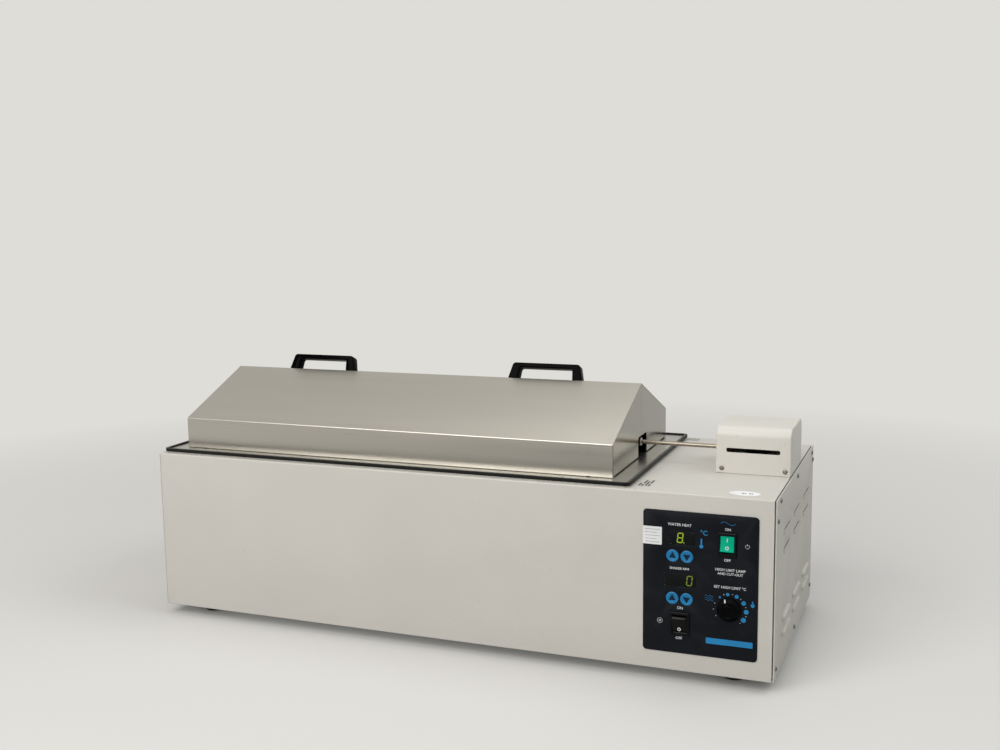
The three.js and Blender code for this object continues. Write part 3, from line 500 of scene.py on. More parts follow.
def brushed_streaks():
    """Brushed sheet: streaks drawn out along one direction, fine over broad."""
    tree, given = new_group("Brushed Streaks", Stretch=(6.0, 700.0, 700.0), Broad=(2.0, 60.0, 60.0))
    place = given["Vector"]
    fine = noise(tree, vector(tree, "MULTIPLY", 0, place, given["Stretch"]), 1.0, 4.0, Roughness=0.65)
    broad = noise(tree, vector(tree, "MULTIPLY", 0, place, given["Broad"]), 1.0, 3.0)
    cloud = noise(tree, place, 7.0, 4.0)
    mixed = value(tree, "MULTIPLY_ADD", broad, 0.5, value(tree, "MULTIPLY", fine, 0.5))
    return give(tree, Height=fine, Streak=spread(tree, mixed, 0.0, 1.0, 0.2, 0.8),
                Cloud=spread(tree, cloud, 0.0, 1.0, 0.3, 0.7))


def handling_marks():
    """Finger smudges and wipe marks, as a mask."""
    tree, given = new_group("Handling Marks", Scale=22.0, Amount=0.5)
    warp = noise(tree, given["Vector"], given["Scale"], 5.0, Roughness=0.6, Distortion=1.4)
    patch = noise(tree, given["Vector"], 4.0, 1.0)
    return give(tree, Mask=product(tree, spread(tree, warp, 0.0, 1.0, 0.48, 0.66),
                                   spread(tree, patch, 0.0, 1.0, 0.42, 0.62), given["Amount"]))


def edge_wear():
    """Worn edges: where the surface turns within a small radius, broken up by noise."""
    tree, given = new_group("Edge Wear", Radius=0.0009, Breakup_Scale=240.0, Amount=0.6)
    rounded = put(tree, "ShaderNodeBevel", {"Radius": given["Radius"]}, samples=4).outputs[0]
    face = put(tree, "ShaderNodeNewGeometry").outputs["Normal"]
    likeness = vector(tree, "DOT_PRODUCT", "Value", rounded, face)
    breakup = noise(tree, given["Vector"], given["Breakup Scale"], 3.0)
    return give(tree, Mask=product(tree, spread(tree, likeness, 1.0, 0.0, 0.86, 0.985),
                                   spread(tree, breakup, 0.0, 1.0, 0.4, 0.6), given["Amount"]))


def settled_dust():
    """Light dust that settles where a surface faces up."""
    tree, given = new_group("Settled Dust", Amount=0.3)
    face = put(tree, "ShaderNodeNewGeometry").outputs["Normal"]
    upward = put(tree, "ShaderNodeSeparateXYZ", {0: face}).outputs["Z"]
    grain = noise(tree, given["Vector"], 90.0, 6.0, Roughness=0.75)
    return give(tree, Mask=product(tree, spread(tree, upward, 0.0, 1.0, 0.55, 0.98),
                                   spread(tree, grain, 0.0, 1.0, 0.45, 0.7), given["Amount"]))


def moulded_grain():
    """Moulded plastic: spark-eroded grain and slight flow tone."""
    tree, given = new_group("Moulded Grain", Grain_Scale=1500.0)
    grain = noise(tree, given["Vector"], given["Grain Scale"], 2.0, Roughness=0.7)
    flow = noise(tree, given["Vector"], 30.0, 2.0)
    return give(tree, Height=grain, Tone=spread(tree, flow, 0.0, 1.0, 0.3, 0.7))


GROUPS = {}


def group(maker):
    """A shader group, built when it is first asked for."""
    if maker not in GROUPS:
        GROUPS[maker] = maker()
    return GROUPS[maker]


# ---------------------------------------------------------------- finishes

def shade(base, factor):
    """A colour made darker or lighter."""
    return tuple(min(1.0, channel * factor) for channel in base)


class Finish:
    """A material in the making: its base colour, its tree, its Principled shader and what fills it."""

    def __init__(self, name, base, **sockets):
        self.base = base
        self.material = bpy.data.materials.new(name)
        self.material.use_nodes = True
        self.tree = self.material.node_tree
        self.tree.nodes.clear()
        self.shader = put(self.tree, "ShaderNodeBsdfPrincipled", spaced(sockets))
        put(self.tree, "ShaderNodeOutputMaterial", {"Surface": self.shader.outputs[0]})
        self.place = put(self.tree, "ShaderNodeTexCoord").outputs["Object"]

    def use(self, maker, **inputs):
        """Places a shader group and returns its outputs."""
        inputs = {"Vector": self.place, **spaced(inputs)}
        return put(self.tree, "ShaderNodeGroup", inputs, node_tree=group(maker)).outputs

    def math(self, operation, *inputs):
        return value(self.tree, operation, *inputs)

    def blend(self, mask, first, second, amount=None):
        """Mixes two tones by a mask. A tone is a socket, or a factor on the base colour."""
        if amount is not None:
            mask = self.math("MULTIPLY", mask, amount)
        first, second = (tone if isinstance(tone, bpy.types.NodeSocket) else (*shade(self.base, tone), 1.0)
                         for tone in (first, second))
        return put(self.tree, "ShaderNodeMix", {0: mask, 6: first, 7: second}, data_type="RGBA").outputs[2]

    def texture(self, kind, scale, more, **values):
        inputs = {"Vector": self.place, "Scale": scale, **more}
        return put(self.tree, "ShaderNodeTex" + kind, inputs, **values).outputs

    def done(self, tone, rough, height, strength, distance, glow=0.0):
        """Feeds the shader its tone, roughness, bump and glow."""
        bump = {"Height": height, "Strength": strength, "Distance": distance}
        bump = put(self.tree, "ShaderNodeBump", bump)
        feed(self.shader, {"Base Color": tone, "Roughness": rough, "Normal": bump.outputs[0]})
        if glow:
            feed(self.shader, {"Emission Color": tone, "Emission Strength": glow})
        return self.material


def painted(name, base, gloss):
    """Powder-coated steel: dimpled skin, drifting tone, dust on top and bared edges."""
    finish = Finish(name, base, Roughness=gloss, IOR=1.5)
    skin = finish.use(orange_peel)
    tone = finish.blend(skin["Drift"], 0.97, 1.02)
    tone = finish.blend(skin["Speck"], tone, 0.72, 0.25)
    marks = finish.use(handling_marks, Scale=14.0, Amount=0.5)["Mask"]
    tone = finish.blend(marks, tone, 0.86, 0.22)
    tone = finish.blend(finish.use(settled_dust, Amount=0.22)["Mask"], tone, 0.9)
    tone = finish.blend(finish.use(edge_wear, Amount=0.35)["Mask"], tone, 0.6)
    rough = spread(finish.tree, skin["Drift"], gloss - 0.05, gloss + 0.07)
    rough = finish.math("ADD", rough, finish.math("MULTIPLY", marks, 0.12))
    return finish.done(tone, rough, skin["Height"], 0.16, 0.00012)


def brushed(name, base, gloss, stretch, broad, grain=0.1, marks=0.4, cloud=0.06):
    """Brushed or rolled sheet: streaks in tone, roughness and height, with smudges."""
    finish = Finish(name, base, Metallic=1.0, Roughness=gloss)
    sheet = finish.use(brushed_streaks, Stretch=stretch, Broad=broad)
    tone = finish.blend(sheet["Streak"], 0.95, 1.04)
    tone = finish.blend(sheet["Cloud"], tone, 0.86, cloud * 5)
    smudges = finish.use(handling_marks, Scale=18.0, Amount=marks)["Mask"]
    tone = finish.blend(smudges, tone, 0.74, 0.35)
    rough = spread(finish.tree, sheet["Streak"], gloss - 0.05, gloss + 0.08)
    rough = finish.math("ADD", rough, finish.math("MULTIPLY", smudges, 0.16))
    rough = finish.math("MULTIPLY_ADD", sheet["Cloud"], cloud, rough)
    return finish.done(tone, rough, sheet["Height"], grain, 0.00006)


def moulded(name, base, gloss, grain=0.12, edge=0.5, edge_tone=3.2, dusty=0.14, glow=0.0, **sockets):
    """Moulded plastic or rubber: fine grain, flow tone, rubbed edges and dust."""
    finish = Finish(name, base, Roughness=gloss, **sockets)
    skin = finish.use(moulded_grain)
    tone = finish.blend(skin["Tone"], 0.88, 1.12)
    tone = finish.blend(finish.use(edge_wear, Radius=0.0006, Amount=edge)["Mask"], tone, edge_tone, 0.5)
    dust = finish.use(settled_dust, Amount=dusty)["Mask"]
    tone = finish.blend(dust, tone, 3.0, 0.6)
    rough = spread(finish.tree, skin["Tone"], gloss - 0.05, gloss + 0.06)
    rough = finish.math("MULTIPLY_ADD", dust, 0.3, rough)
    return finish.done(tone, rough, skin["Height"], grain, 0.00005, glow)


def machined(name, base, gloss):
    """Turned or cast metal: clouded tone, fine grain and rubbed edges."""
    finish = Finish(name, base, Metallic=1.0, Roughness=gloss)
    skin = finish.use(moulded_grain, Grain_Scale=1100.0)
    tone = finish.blend(skin["Tone"], 0.86, 1.06)
    smudges = finish.use(handling_marks, Scale=40.0, Amount=0.7)["Mask"]
    tone = finish.blend(smudges, tone, 0.6, 0.5)
    tone = finish.blend(finish.use(edge_wear, Radius=0.0005, Amount=0.7)["Mask"], tone, 1.15)
    rough = spread(finish.tree, skin["Tone"], gloss - 0.04, gloss + 0.08)
    rough = finish.math("MULTIPLY_ADD", smudges, 0.14, rough)
    return finish.done(tone, rough, skin["Height"], 0.1, 0.00005)


def printed(name, base, glow=0.0, **sockets):
    """Screen print or paper: a faint mottle, and a glow for what is lit."""
    finish = Finish(name, base, **sockets)
    skin = finish.use(moulded_grain, Grain_Scale=900.0)
    rough = spread(finish.tree, skin["Tone"], 0.48, 0.62)
    return finish.done(finish.blend(skin["Tone"], 0.9, 1.04), rough, skin["Height"], 0.05, 0.00003, glow)


def overlay_film(name, base):
    """Printed polyester over the panel: satin, faintly rippled and smeared."""
    finish = Finish(name, base, IOR=1.3)
    skin = finish.use(moulded_grain, Grain_Scale=700.0)
    smears = finish.use(handling_marks, Scale=30.0, Amount=0.9)["Mask"]
    tone = finish.blend(smears, finish.blend(skin["Tone"], 0.9, 1.12), 1.8, 0.35)
    rough = spread(finish.tree, skin["Tone"], 0.3, 0.36)
    rough = finish.math("MULTIPLY_ADD", smears, 0.2, rough)
    ripple = noise(finish.tree, finish.place, 55.0, 2.0)
    return finish.done(tone, rough, finish.math("MULTIPLY_ADD", skin["Height"], 0.2, ripple), 0.12, 0.0002)


def circuit_board(name, base):
    """Solder mask over copper tracks."""
    finish = Finish(name, base)
    tracks = finish.texture("Brick", 90.0, {"Mortar Size": 0.06})["Fac"]
    tone = finish.blend(finish.use(moulded_grain)["Tone"], 0.85, 1.1)
    rough = spread(finish.tree, tracks, 0.3, 0.45)
    return finish.done(finish.blend(tracks, 0.55, tone), rough, tracks, 0.2, 0.0001)


def laminated(name, base):
    """Stacked steel laminations."""
    finish = Finish(name, base, Metallic=0.9)
    layers = finish.texture("Wave", 160.0, {"Distortion": 0.6}, bands_direction="Y")[1]
    tone = finish.blend(finish.use(moulded_grain)["Tone"], finish.blend(layers, 0.4, 0.7), 0.55)
    return finish.done(tone, spread(finish.tree, layers, 0.35, 0.6), layers, 0.3, 0.0002)


def wound(name, base):
    """Layers of enamelled wire."""
    finish = Finish(name, base, Metallic=0.8)
    turns = finish.texture("Wave", 260.0, {"Distortion": 0.8}, bands_direction="X")[1]
    roughness = spread(finish.tree, turns, 0.3, 0.5)
    return finish.done(finish.blend(turns, 0.45, 1.0), roughness, turns, 0.5, 0.0003)


FINISHES = {}


def make_finishes():
    """Builds every material from the scene's colours."""
    tint = colours()
    lengthwise = {"stretch": (6.0, 800.0, 800.0), "broad": (1.6, 55.0, 55.0)}
    upright = {"stretch": (900.0, 900.0, 9.0), "broad": (70.0, 70.0, 4.0)}
    FINISHES.update({
        "paint": painted("powder_coat", tint.paint, 0.42),
        # lighter copy of the casing paint: painted light for the drive housing, which shows brighter than the
        # casing
        "lit_cover_paint": painted("powder_coat_cover", shade(tint.paint, 1.13), 0.42),
        "side_paint": painted("powder_coat_sides", tint.paint, 0.44),
        "lid": brushed("lid_brushed", tint.stainless, 0.27, **lengthwise, grain=0.03, marks=0.07),
        "lid_end": brushed("lid_end_brushed", tint.stainless, 0.13, **upright, grain=0.04, marks=0.3),
        "tank": brushed("tank_drawn", tint.tank, 0.24, **lengthwise, grain=0.06, marks=0.7),
        "tray": brushed("tray_rolled", tint.tank, 0.3, **lengthwise, grain=0.08, marks=0.6),
        "zinc": brushed("zinc_plated", tint.zinc, 0.42, (60.0, 60.0, 60.0), (9.0, 9.0, 9.0), cloud=0.14),
        "foil": brushed("heater_foil", tint.copper, 0.34, (200.0, 200.0, 200.0), (30.0, 30.0, 30.0)),
        "steel": machined("bright_steel", tint.steel, 0.24),
        # the rod's steel is darkened and warmed: painted shade and reflection
        "rod": machined("rod_steel", tint.rod, 0.26),
        "brass": machined("brass", tint.brass, 0.3),
        "aluminium": machined("cast_aluminium", tint.aluminium, 0.46),
        "screw": machined("screw_steel", shade(tint.steel, 0.72), 0.3),
        "blackened": machined("blackened_steel", shade(tint.black, 3.0), 0.4),
        "trim": moulded("trim_rubber", shade(tint.rubber, 0.8), 0.5, grain=0.2, edge=0.15, dusty=0.03,
                        Specular_IOR_Level=0.25),
        # the trim's pale strip: a painted highlight for its rounded bead
        "trim_line": moulded("trim_line", tint.trim_line, 0.5, edge_tone=1.2),
        "foot": moulded("foot_rubber", tint.rubber, 0.8, grain=0.3, edge=0.4),
        "handle": moulded("handle_plastic", shade(tint.black, 0.35), 0.16, grain=0.04, edge=0.08, dusty=0.01,
                          IOR=1.3, Specular_IOR_Level=0.06),
        "knob": moulded("knob_plastic", shade(tint.black, 0.35), 0.22, grain=0.05, edge=0.15, dusty=0.01,
                        IOR=1.35, Specular_IOR_Level=0.15),
        "switch": moulded("switch_plastic", shade(tint.black, 0.5), 0.28, grain=0.06, edge=0.3, dusty=0.03,
                          Specular_IOR_Level=0.25),
        "black": moulded("black_plastic", tint.black, 0.3, grain=0.1, edge=0.3, dusty=0.06, IOR=1.35,
                         Specular_IOR_Level=0.3),
        "recess": moulded("dark_recess", shade(tint.black, 0.3), 0.7, edge=0.0),
        "white": moulded("white_plastic", tint.label, 0.42, edge_tone=1.05),
        "blue_key": moulded("blue_key", shade(tint.blue, 0.84), 0.34, grain=0.08, edge_tone=1.4),
        "arrow": moulded("key_arrow", shade(tint.blue, 0.09), 0.5, edge=0.0, dusty=0.0,
                         Specular_IOR_Level=0.2),
        "green": moulded("lit_rocker", tint.green, 0.3, grain=0.04, edge_tone=1.2, dusty=0.0, glow=0.3,
                         IOR=1.25, Specular_IOR_Level=0.2),
        "film": overlay_film("overlay_film", tint.panel),
        "window": overlay_film("display_window", shade(tint.panel, 0.5)),
        "digit": printed("lit_segments", shade(tint.digit, 0.8), 0.1),
        "digit_dim": printed("dim_segments", shade(tint.digit, 0.4), 0.1),
        "digit_off": printed("unlit_segments", (0.0055, 0.0075, 0.0055), Specular_IOR_Level=0.1),
        "print_white": printed("white_print", tint.print_white),
        "print_blue": printed("blue_print", tint.blue),
        "label": printed("blank_label", tint.label),
        "label_line": printed("label_lines", shade(tint.label, 0.2)),
        "dark_print": printed("dark_print", shade(tint.label, 0.05)),
        # lighter copy of the label paper: painted light on the oval label, which is seen at a grazing angle
        "bright_label": printed("bright_label", shade(tint.label, 1.1)),
        "grey_label": printed("grey_label", shade(tint.paint, 0.62)),
        "near_label": printed("pale_label", shade(tint.paint, 0.95)),
        "board": circuit_board("circuit_board", tint.board),
        "laminated": laminated("transformer_core", tint.zinc),
        "wound": wound("copper_winding", tint.copper),
    })


# ---------------------------------------------------------------- places shared by the pieces

SEAT_GAP = 0.3 * MM
GAP = Vector((SEAT_GAP, 0, SEAT_GAP))
OVERRUN = 2 * MM
SIDE_SEAM = {1: 1.6 * MM, -1: 0.3 * MM}
SIDES = {"left": -1, "right": 1}
CORNERS = [(depth, end) for depth in ("front", "rear") for end in SIDES]
BASIN_PAST_HEATER = Vector((45 * MM, 40 * MM, 0))
DECK_LIFT = Vector((0, 0, 1.3 * MM))
DECK_LEDGE = 8 * MM
FLANGE_LIFT = 3.2 * MM
TRIM_SHOWS_FROM = 2 * MM
TRIM_TALL = 5 * MM
TRIM_WALL = 1.4 * MM
TRIM_SHIFT = (Vector((-1.4 * MM, 1.2 * MM, 0)), Vector((-2.8 * MM, 0, 0)))
COVER_DEEPER = Vector((0, 8 * MM, 0))
LID_RISE = 61.3 * MM
LID_DROP = Vector((0, 0, 2.1 * MM))
KEYS = ("temperature_up_key", "temperature_down_key", "speed_up_key", "speed_down_key")
WINDOWS = ("temperature_window", "speed_window")
SWITCHES = ("power", "motor")
BEZEL_LIP = Vector((1.6 * MM, 0, 1.6 * MM))
KEY_HOLE, SPINDLE_HOLE = 8.5, 3.6


def flat(width):
    """The same width along x and y."""
    return Vector((width, width, 0))


def casing_box():
    """The casing's corners. Its deck shows a little higher than in the CAD."""
    low, high, _ = box("casing_shell")
    return low, high + DECK_LIFT


def deck_top():
    return casing_box()[HIGH].z


def panel_face():
    """The y of the overlay's outer face."""
    return box("panel_overlay")[LOW].y


def flange_top():
    """The flange's height: it stands on its turned-down rim, a little above the deck."""
    return box("tank")[HIGH].z + FLANGE_LIFT


def trim_box():
    """The trim's corners. It covers the flange's edge and leaves the rim's foot bare."""
    low, high = (corner + step for corner, step in zip(box("tank_edge_trim"), TRIM_SHIFT))
    low.z = deck_top() + TRIM_SHOWS_FROM
    high.z = low.z + TRIM_TALL
    return low, high


def basin():
    """Inner corners of the tank, open at the flange."""
    low, high, _ = box("tank_heater")
    low, high = low - BASIN_PAST_HEATER, high + BASIN_PAST_HEATER
    low.z, high.z = box("tank")[LOW].z + sizes().tank_sheet, flange_top()
    return low, high


def cover_box():
    """The drive housing's corners. Its rear wall stands a little further back."""
    low, high, _ = box("drive_housing")
    low.z = deck_top() + SEAT_GAP
    return low, high + COVER_DEEPER


def lid_box():
    """The lid sheet's corners, with its skirt brought down close to the flange, and its ridge's y."""
    low, high, centre = box("lid_shell")
    return low - LID_DROP, high, centre.y


def gable_form():
    """The height of the lid's shoulders and the angle of its slopes."""
    low, high, _ = lid_box()
    return high.z - LID_RISE, math.atan2(LID_RISE, (high.y - low.y) / 2)


def ring(name, low, high, width, corner):
    """A flat rounded frame of even width."""
    band = plate(name, low, high, Z, corner / MM)
    step, over = flat(width), Vector((0, 0, OVERRUN))
    return cut(band, plate("hole", low + step - over, high - step + over, Z, max((corner - width) / MM, 1)))


def opening(node, lip, wall):
    """A square cutter that follows a CAD node, through a wall."""
    low, high, _ = box(node)
    low, high = low + lip, high - lip
    return block("hole", (low.x, wall[0], low.z), (high.x, wall[1], high.z))


def panel_openings(wall, bezel_lip):
    """Cutters for the windows, the switches, the keys and the knob's spindle."""
    holes = [opening(node, -GAP, wall) for node in WINDOWS]
    holes += [opening(name + "_switch_body", bezel_lip, wall) for name in SWITCHES]
    holes += [drill(box(node)[MIDDLE], Y, *wall, KEY_HOLE) for node in KEYS]
    return holes + [drill(box("overtemp_knob")[MIDDLE], Y, *wall, SPINDLE_HOLE)]


# ---------------------------------------------------------------- operators

class BATH_OT_stage(bpy.types.Operator):
    """Makes the pale floor, the soft studio light and the camera"""
    bl_idname = "bath.stage"
    bl_label = "Stage"

    CAMERA_PLACE = (0.6756, -1.6601, 0.6274)
    YAW, PITCH, ROLL = -0.37657, 0.14363, -0.01343
    IMAGE_WIDTH = 1000
    FOCAL_PIXELS = 1185.248
    SENSOR = 36.0
    FLOOR_RADIUS = 9.0
    FADE = (0.7, 2.0)
    FLOOR_TONE = (0.74, 0.73, 0.71)
    FLOOR_BOUNCE = (0.46, 0.455, 0.44)
    LAMPS = (
        ("key_lamp", (-0.7, -2.72, 2.05), 2.6, 73.0, (1.0, 0.985, 0.965)),
        ("overhead_lamp", (0.3, 0.3, 2.7), 2.8, 15.5, (1.0, 0.99, 0.975)),
        ("side_lamp", (2.4, 0.1, 2.7), 1.8, 26.0, (0.95, 0.99, 0.97)),
    )
    AMBIENT_TONE, AMBIENT = (1.0, 0.99, 0.975, 1.0), 0.34
    REFLECTED_WALL = ((-0.3, 0.9, 0.0), 0.34, 0.86, -0.95, -0.2)
    REFLECTED_FLOOR = ((-0.9, 0.3, 0.0), 0.45, 0.97, -0.57, 0.81)

    def camera(self):
        cy, sy = math.cos(self.YAW), math.sin(self.YAW)
        forward = Vector((sy * math.cos(self.PITCH), cy * math.cos(self.PITCH), -math.sin(self.PITCH)))
        right = Vector((cy, -sy, 0))
        down = forward.cross(right)
        c, s = math.cos(self.ROLL), math.sin(self.ROLL)
        right, down = c * right - s * down, s * right + c * down
        bpy.ops.object.camera_add()
        camera = bpy.context.object
        axes = Matrix((right, -down, -forward)).transposed()
        camera.matrix_world = shift(self.CAMERA_PLACE) @ axes.to_4x4()
        camera.data.sensor_width = self.SENSOR
        camera.data.lens = self.FOCAL_PIXELS * self.SENSOR / self.IMAGE_WIDTH
        camera.data.clip_start, camera.data.clip_end = 0.01, 60
        camera.name = "camera"
        bpy.context.scene.camera = camera

    def lamps(self):
        for name, place, width, power, tint in self.LAMPS:
            bpy.ops.object.light_add(type="AREA", location=place)
            lamp = bpy.context.object
            lamp.name = name
            lamp.rotation_euler = Vector(place).to_track_quat("Z", "Y").to_euler()
            lamp.data.shape, lamp.data.size = "SQUARE", width
            lamp.data.energy, lamp.data.color = power, tint

    def sight(self, tree):
        """1 for rays that see the stage directly or through glass."""
        rays = put(tree, "ShaderNodeLightPath").outputs
        return value(tree, "MAXIMUM", rays["Is Camera Ray"], rays["Is Transmission Ray"])

    def mixed(self, tree, kind, mask, lit, place, way, *tones):
        """The plain backdrop for the camera, a dimmer one for polished metal, the lit stage for the rest."""
        backdrop = (*colours().background, 1.0)
        tone = spread(tree, vector(tree, "DOT_PRODUCT", "Value", place, way), *tones)
        room = put(tree, kind, {"Color": backdrop, "Strength": tone}).outputs[0]
        glossy = put(tree, "ShaderNodeLightPath").outputs["Is Glossy Ray"]
        lit = put(tree, "ShaderNodeMixShader", {0: glossy, 1: lit.outputs[0], 2: room}).outputs[0]
        seen = put(tree, kind, {"Color": backdrop, "Strength": 1.0}).outputs[0]
        return put(tree, "ShaderNodeMixShader", {0: mask, 1: lit, 2: seen}).outputs[0]

    def world(self):
        world = bpy.data.worlds.new("studio")
        bpy.context.scene.world = world
        world.use_nodes = True
        tree = world.node_tree
        tree.nodes.clear()
        ambient = put(tree, "ShaderNodeBackground", {"Color": self.AMBIENT_TONE, "Strength": self.AMBIENT})
        incoming = put(tree, "ShaderNodeNewGeometry").outputs["Incoming"]
        outward = put(tree, "ShaderNodeVectorMath", {0: incoming, "Scale": -1.0}, operation="SCALE")
        seen = self.mixed(tree, "ShaderNodeBackground", self.sight(tree), ambient, outward.outputs[0],
                          *self.REFLECTED_WALL)
        put(tree, "ShaderNodeOutputWorld", {"Surface": seen})

    def floor(self):
        floor = disc("floor", 96, self.FLOOR_RADIUS)
        material = bpy.data.materials.new("pale_floor")
        material.use_nodes = True
        tree = material.node_tree
        tree.nodes.clear()
        place = put(tree, "ShaderNodeTexCoord").outputs["Object"]
        fade = spread(tree, vector(tree, "LENGTH", "Value", place), 0.0, 1.0, *self.FADE)
        tones = {0: self.sight(tree), 6: (*self.FLOOR_BOUNCE, 1.0), 7: (*self.FLOOR_TONE, 1.0)}
        lit = put(tree, "ShaderNodeMix", tones, data_type="RGBA").outputs[2]
        plain = put(tree, "ShaderNodeBsdfDiffuse", {"Color": lit})
        mask = value(tree, "MULTIPLY", fade, self.sight(tree))
        seen = self.mixed(tree, "ShaderNodeEmission", mask, plain, place, *self.REFLECTED_FLOOR)
        put(tree, "ShaderNodeOutputMaterial", {"Surface": seen})
        floor.data.materials.append(material)

    def execute(self, context):
        context.scene.view_settings.view_transform = "Standard"
        only()
        self.camera()
        self.lamps()
        self.world()
        self.floor()
        return {"FINISHED"}


class BATH_OT_casing(bpy.types.Operator):
    """Bends the casing's front, deck and rear from one sheet and cuts its openings"""
    bl_idname = "bath.casing"
    bl_label = "Casing"

    INLET_LIP = Vector((6 * MM, 0, 6 * MM)) - GAP
    PIPE_HOLE, SHAFT_HOLE = 7.3, 11

    def execute(self, context):
        size = sizes()
        low, high = casing_box()
        centre = (low + high) / 2
        shell = block("casing", low, high)
        remove_faces(shell, lambda at, normal: abs(normal.x) > 0.9 or normal.z < -0.9)
        for side in (-1, 1):
            draw_out(shell, lambda at, way: way == X and at.z < low.z + MM and (at.y - centre.y) * side > 0,
                     (0, -side * size.return_flange, 0))
        outwards(shell)
        round_edges(shell, size.casing_bend / MM, 7, lambda at, way: way == X and (
            near(at.y, low.y) or near(at.y, high.y)))
        thicken(shell, size.sheet)
        rear, deck = ((end - 3 * OVERRUN, end + OVERRUN) for end in (high.y, high.z))
        tools = panel_openings((low.y - OVERRUN, low.y + 3 * OVERRUN), BEZEL_LIP - GAP)
        tools += [opening("mains_inlet", self.INLET_LIP, rear),
                  drill(box("drain_pipe")[MIDDLE], Y, *rear, self.PIPE_HOLE)]
        inner_low, inner_high = basin()
        ledge = size.tank_sheet + DECK_LEDGE
        inner_low, inner_high = inner_low - flat(ledge), inner_high + flat(ledge)
        inner_low.z, inner_high.z = deck
        tools.append(plate("hole", inner_low, inner_high, Z, (size.tank_corner + ledge) / MM))
        tools.append(drill((box("crank")[MIDDLE].x, centre.y, 0), Z, *deck, self.SHAFT_HOLE))
        cut(shell, *tools)
        soften(shell, 0.25, 1, 50)
        dress(smooth(shell), "paint", "paint", "casing_shell")
        return {"FINISHED"}


class BATH_OT_side_panels(bpy.types.Operator):
    """Makes the two side panels with their lips, and presses louvres in the right one"""
    bl_idname = "bath.side_panels"
    bl_label = "Side panels"

    LIP, LIP_INSET = 12 * MM, 7 * MM
    LOUVRE_ROWS = ((183, 1, 1.5), (158, 1, 1.5), (65, -1, 4.0), (44, -1, 4.0))
    LOUVRE_COLUMNS = (-92 * MM, 6 * MM, 104 * MM)
    LOUVRE_LENGTH, LOUVRE_HEIGHT, LOUVRE_SHEET = 58 * MM, 10 * MM, 0.8 * MM
    LOUVRE_SLICE = 0.3

    def hood(self, root, y, z, proud, way_open):
        """One louvre: a long dome, sliced open along its upper or lower edge."""
        long, half = self.LOUVRE_LENGTH / 2, self.LOUVRE_HEIGHT / 2
        crest = root + proud * MM
        hood = plate("louvre", (root, y - long, z - half), (crest, y + long, z + half), X,
                     half / MM * 0.98, 7)
        round_edges(hood, proud * 0.95, 6, lambda at, way: at.x > crest - 0.1 * MM)
        remove_faces(hood, lambda at, normal: normal.x < -0.9)
        sliced(hood, (0, 0, z + way_open * half * self.LOUVRE_SLICE), (0, 0, way_open))
        return thicken(hood, self.LOUVRE_SHEET)

    def panel(self, name):
        size, side = sizes(), SIDES[name]
        low, high, _ = box(name + "_side_panel")
        high = high + DECK_LIFT
        inner = box("casing_shell")[HIGH if side > 0 else LOW].x + side * SIDE_SEAM[side]
        outer = inner + side * size.sheet
        panel = block(name + "_panel", (min(inner, outer), low.y, low.z), (max(inner, outer), high.y, high.z))
        choose(panel, "FACE", lambda at, normal: normal.x * side < -0.9)
        bpy.ops.mesh.inset(thickness=self.LIP_INSET)
        bpy.ops.mesh.inset(thickness=size.sheet)

        def from_border(at):
            return min(at.y - low.y, high.y - at.y, at.z - low.z, high.z - at.z)

        choose(panel, "FACE", lambda at, normal: normal.x * side < -0.9
               and self.LIP_INSET * 1.02 < from_border(at) < self.LIP_INSET + size.sheet)
        bpy.ops.mesh.extrude_region_move(TRANSFORM_OT_translate={"value": (-side * self.LIP, 0, 0)})
        round_edges(panel, size.casing_bend / MM, 8, lambda at, way: way == X and from_border(at) < 0.1 * MM)
        return panel, low, high, inner, outer

    def louvred(self, panel, low, high, inner, outer):
        hoods, slots = [], []
        deck_middle = (low.y + high.y) / 2
        reach = (self.LOUVRE_LENGTH - self.LOUVRE_HEIGHT) / 2
        for column in self.LOUVRE_COLUMNS:
            for up, way_open, proud in self.LOUVRE_ROWS:
                y, z = deck_middle + column, low.z + up * MM
                hoods.append(self.hood(outer - 0.1 * MM, y, z, proud, way_open))
                lip = z + way_open * self.LOUVRE_HEIGHT / 2 * self.LOUVRE_SLICE
                bottom, top = sorted((lip - way_open * 3 * MM, lip))
                slots.append(block("slot", (inner - OVERRUN, y - reach, bottom),
                                   (outer + OVERRUN, y + reach, top)))
        cut(panel, *slots)
        return hoods

    def execute(self, context):
        for name in SIDES:
            panel, *ends = self.panel(name)
            hoods = self.louvred(panel, *ends) if name == "right" else []
            soften(panel, 0.4, 2, 50)
            dress(smooth(joined(panel.name, panel, *hoods)), "side_paint", "side_paint", name + "_side_panel")
        return {"FINISHED"}


class BATH_OT_underside(bpy.types.Operator):
    """Turns the rubber feet and finishes the base pan"""
    bl_idname = "bath.underside"
    bl_label = "Feet and pan"

    def execute(self, context):
        first, *others = (f"foot_{depth}_{end}" for depth, end in CORNERS)
        low, high, centre = box(first)
        radius, height = (high.x - low.x) / 2 / MM, (high.z - low.z) / MM
        foot = turned("rubber_" + first, (centre.x, centre.y, low.z), UP, [
            (3.4, 4.6), (3.0, 5.6), (0.4, 6.6), (0, 7.4), (0, radius - 4.4), (0.5, radius - 3.3),
            (1.8, radius - 2.7), (height - 1.6, radius - 0.1), (height - 0.4, radius - 0.4),
            (height, radius - 1.4)])
        dress(smooth(foot), "foot", "foot_rubber", first)
        for node in others:
            other = copied(foot, "rubber_" + node, shift(box(node)[MIDDLE] - centre))
            dress(smooth(other), "foot", "foot_rubber", node)
        refinish("zinc", "base_pan")
        return {"FINISHED"}


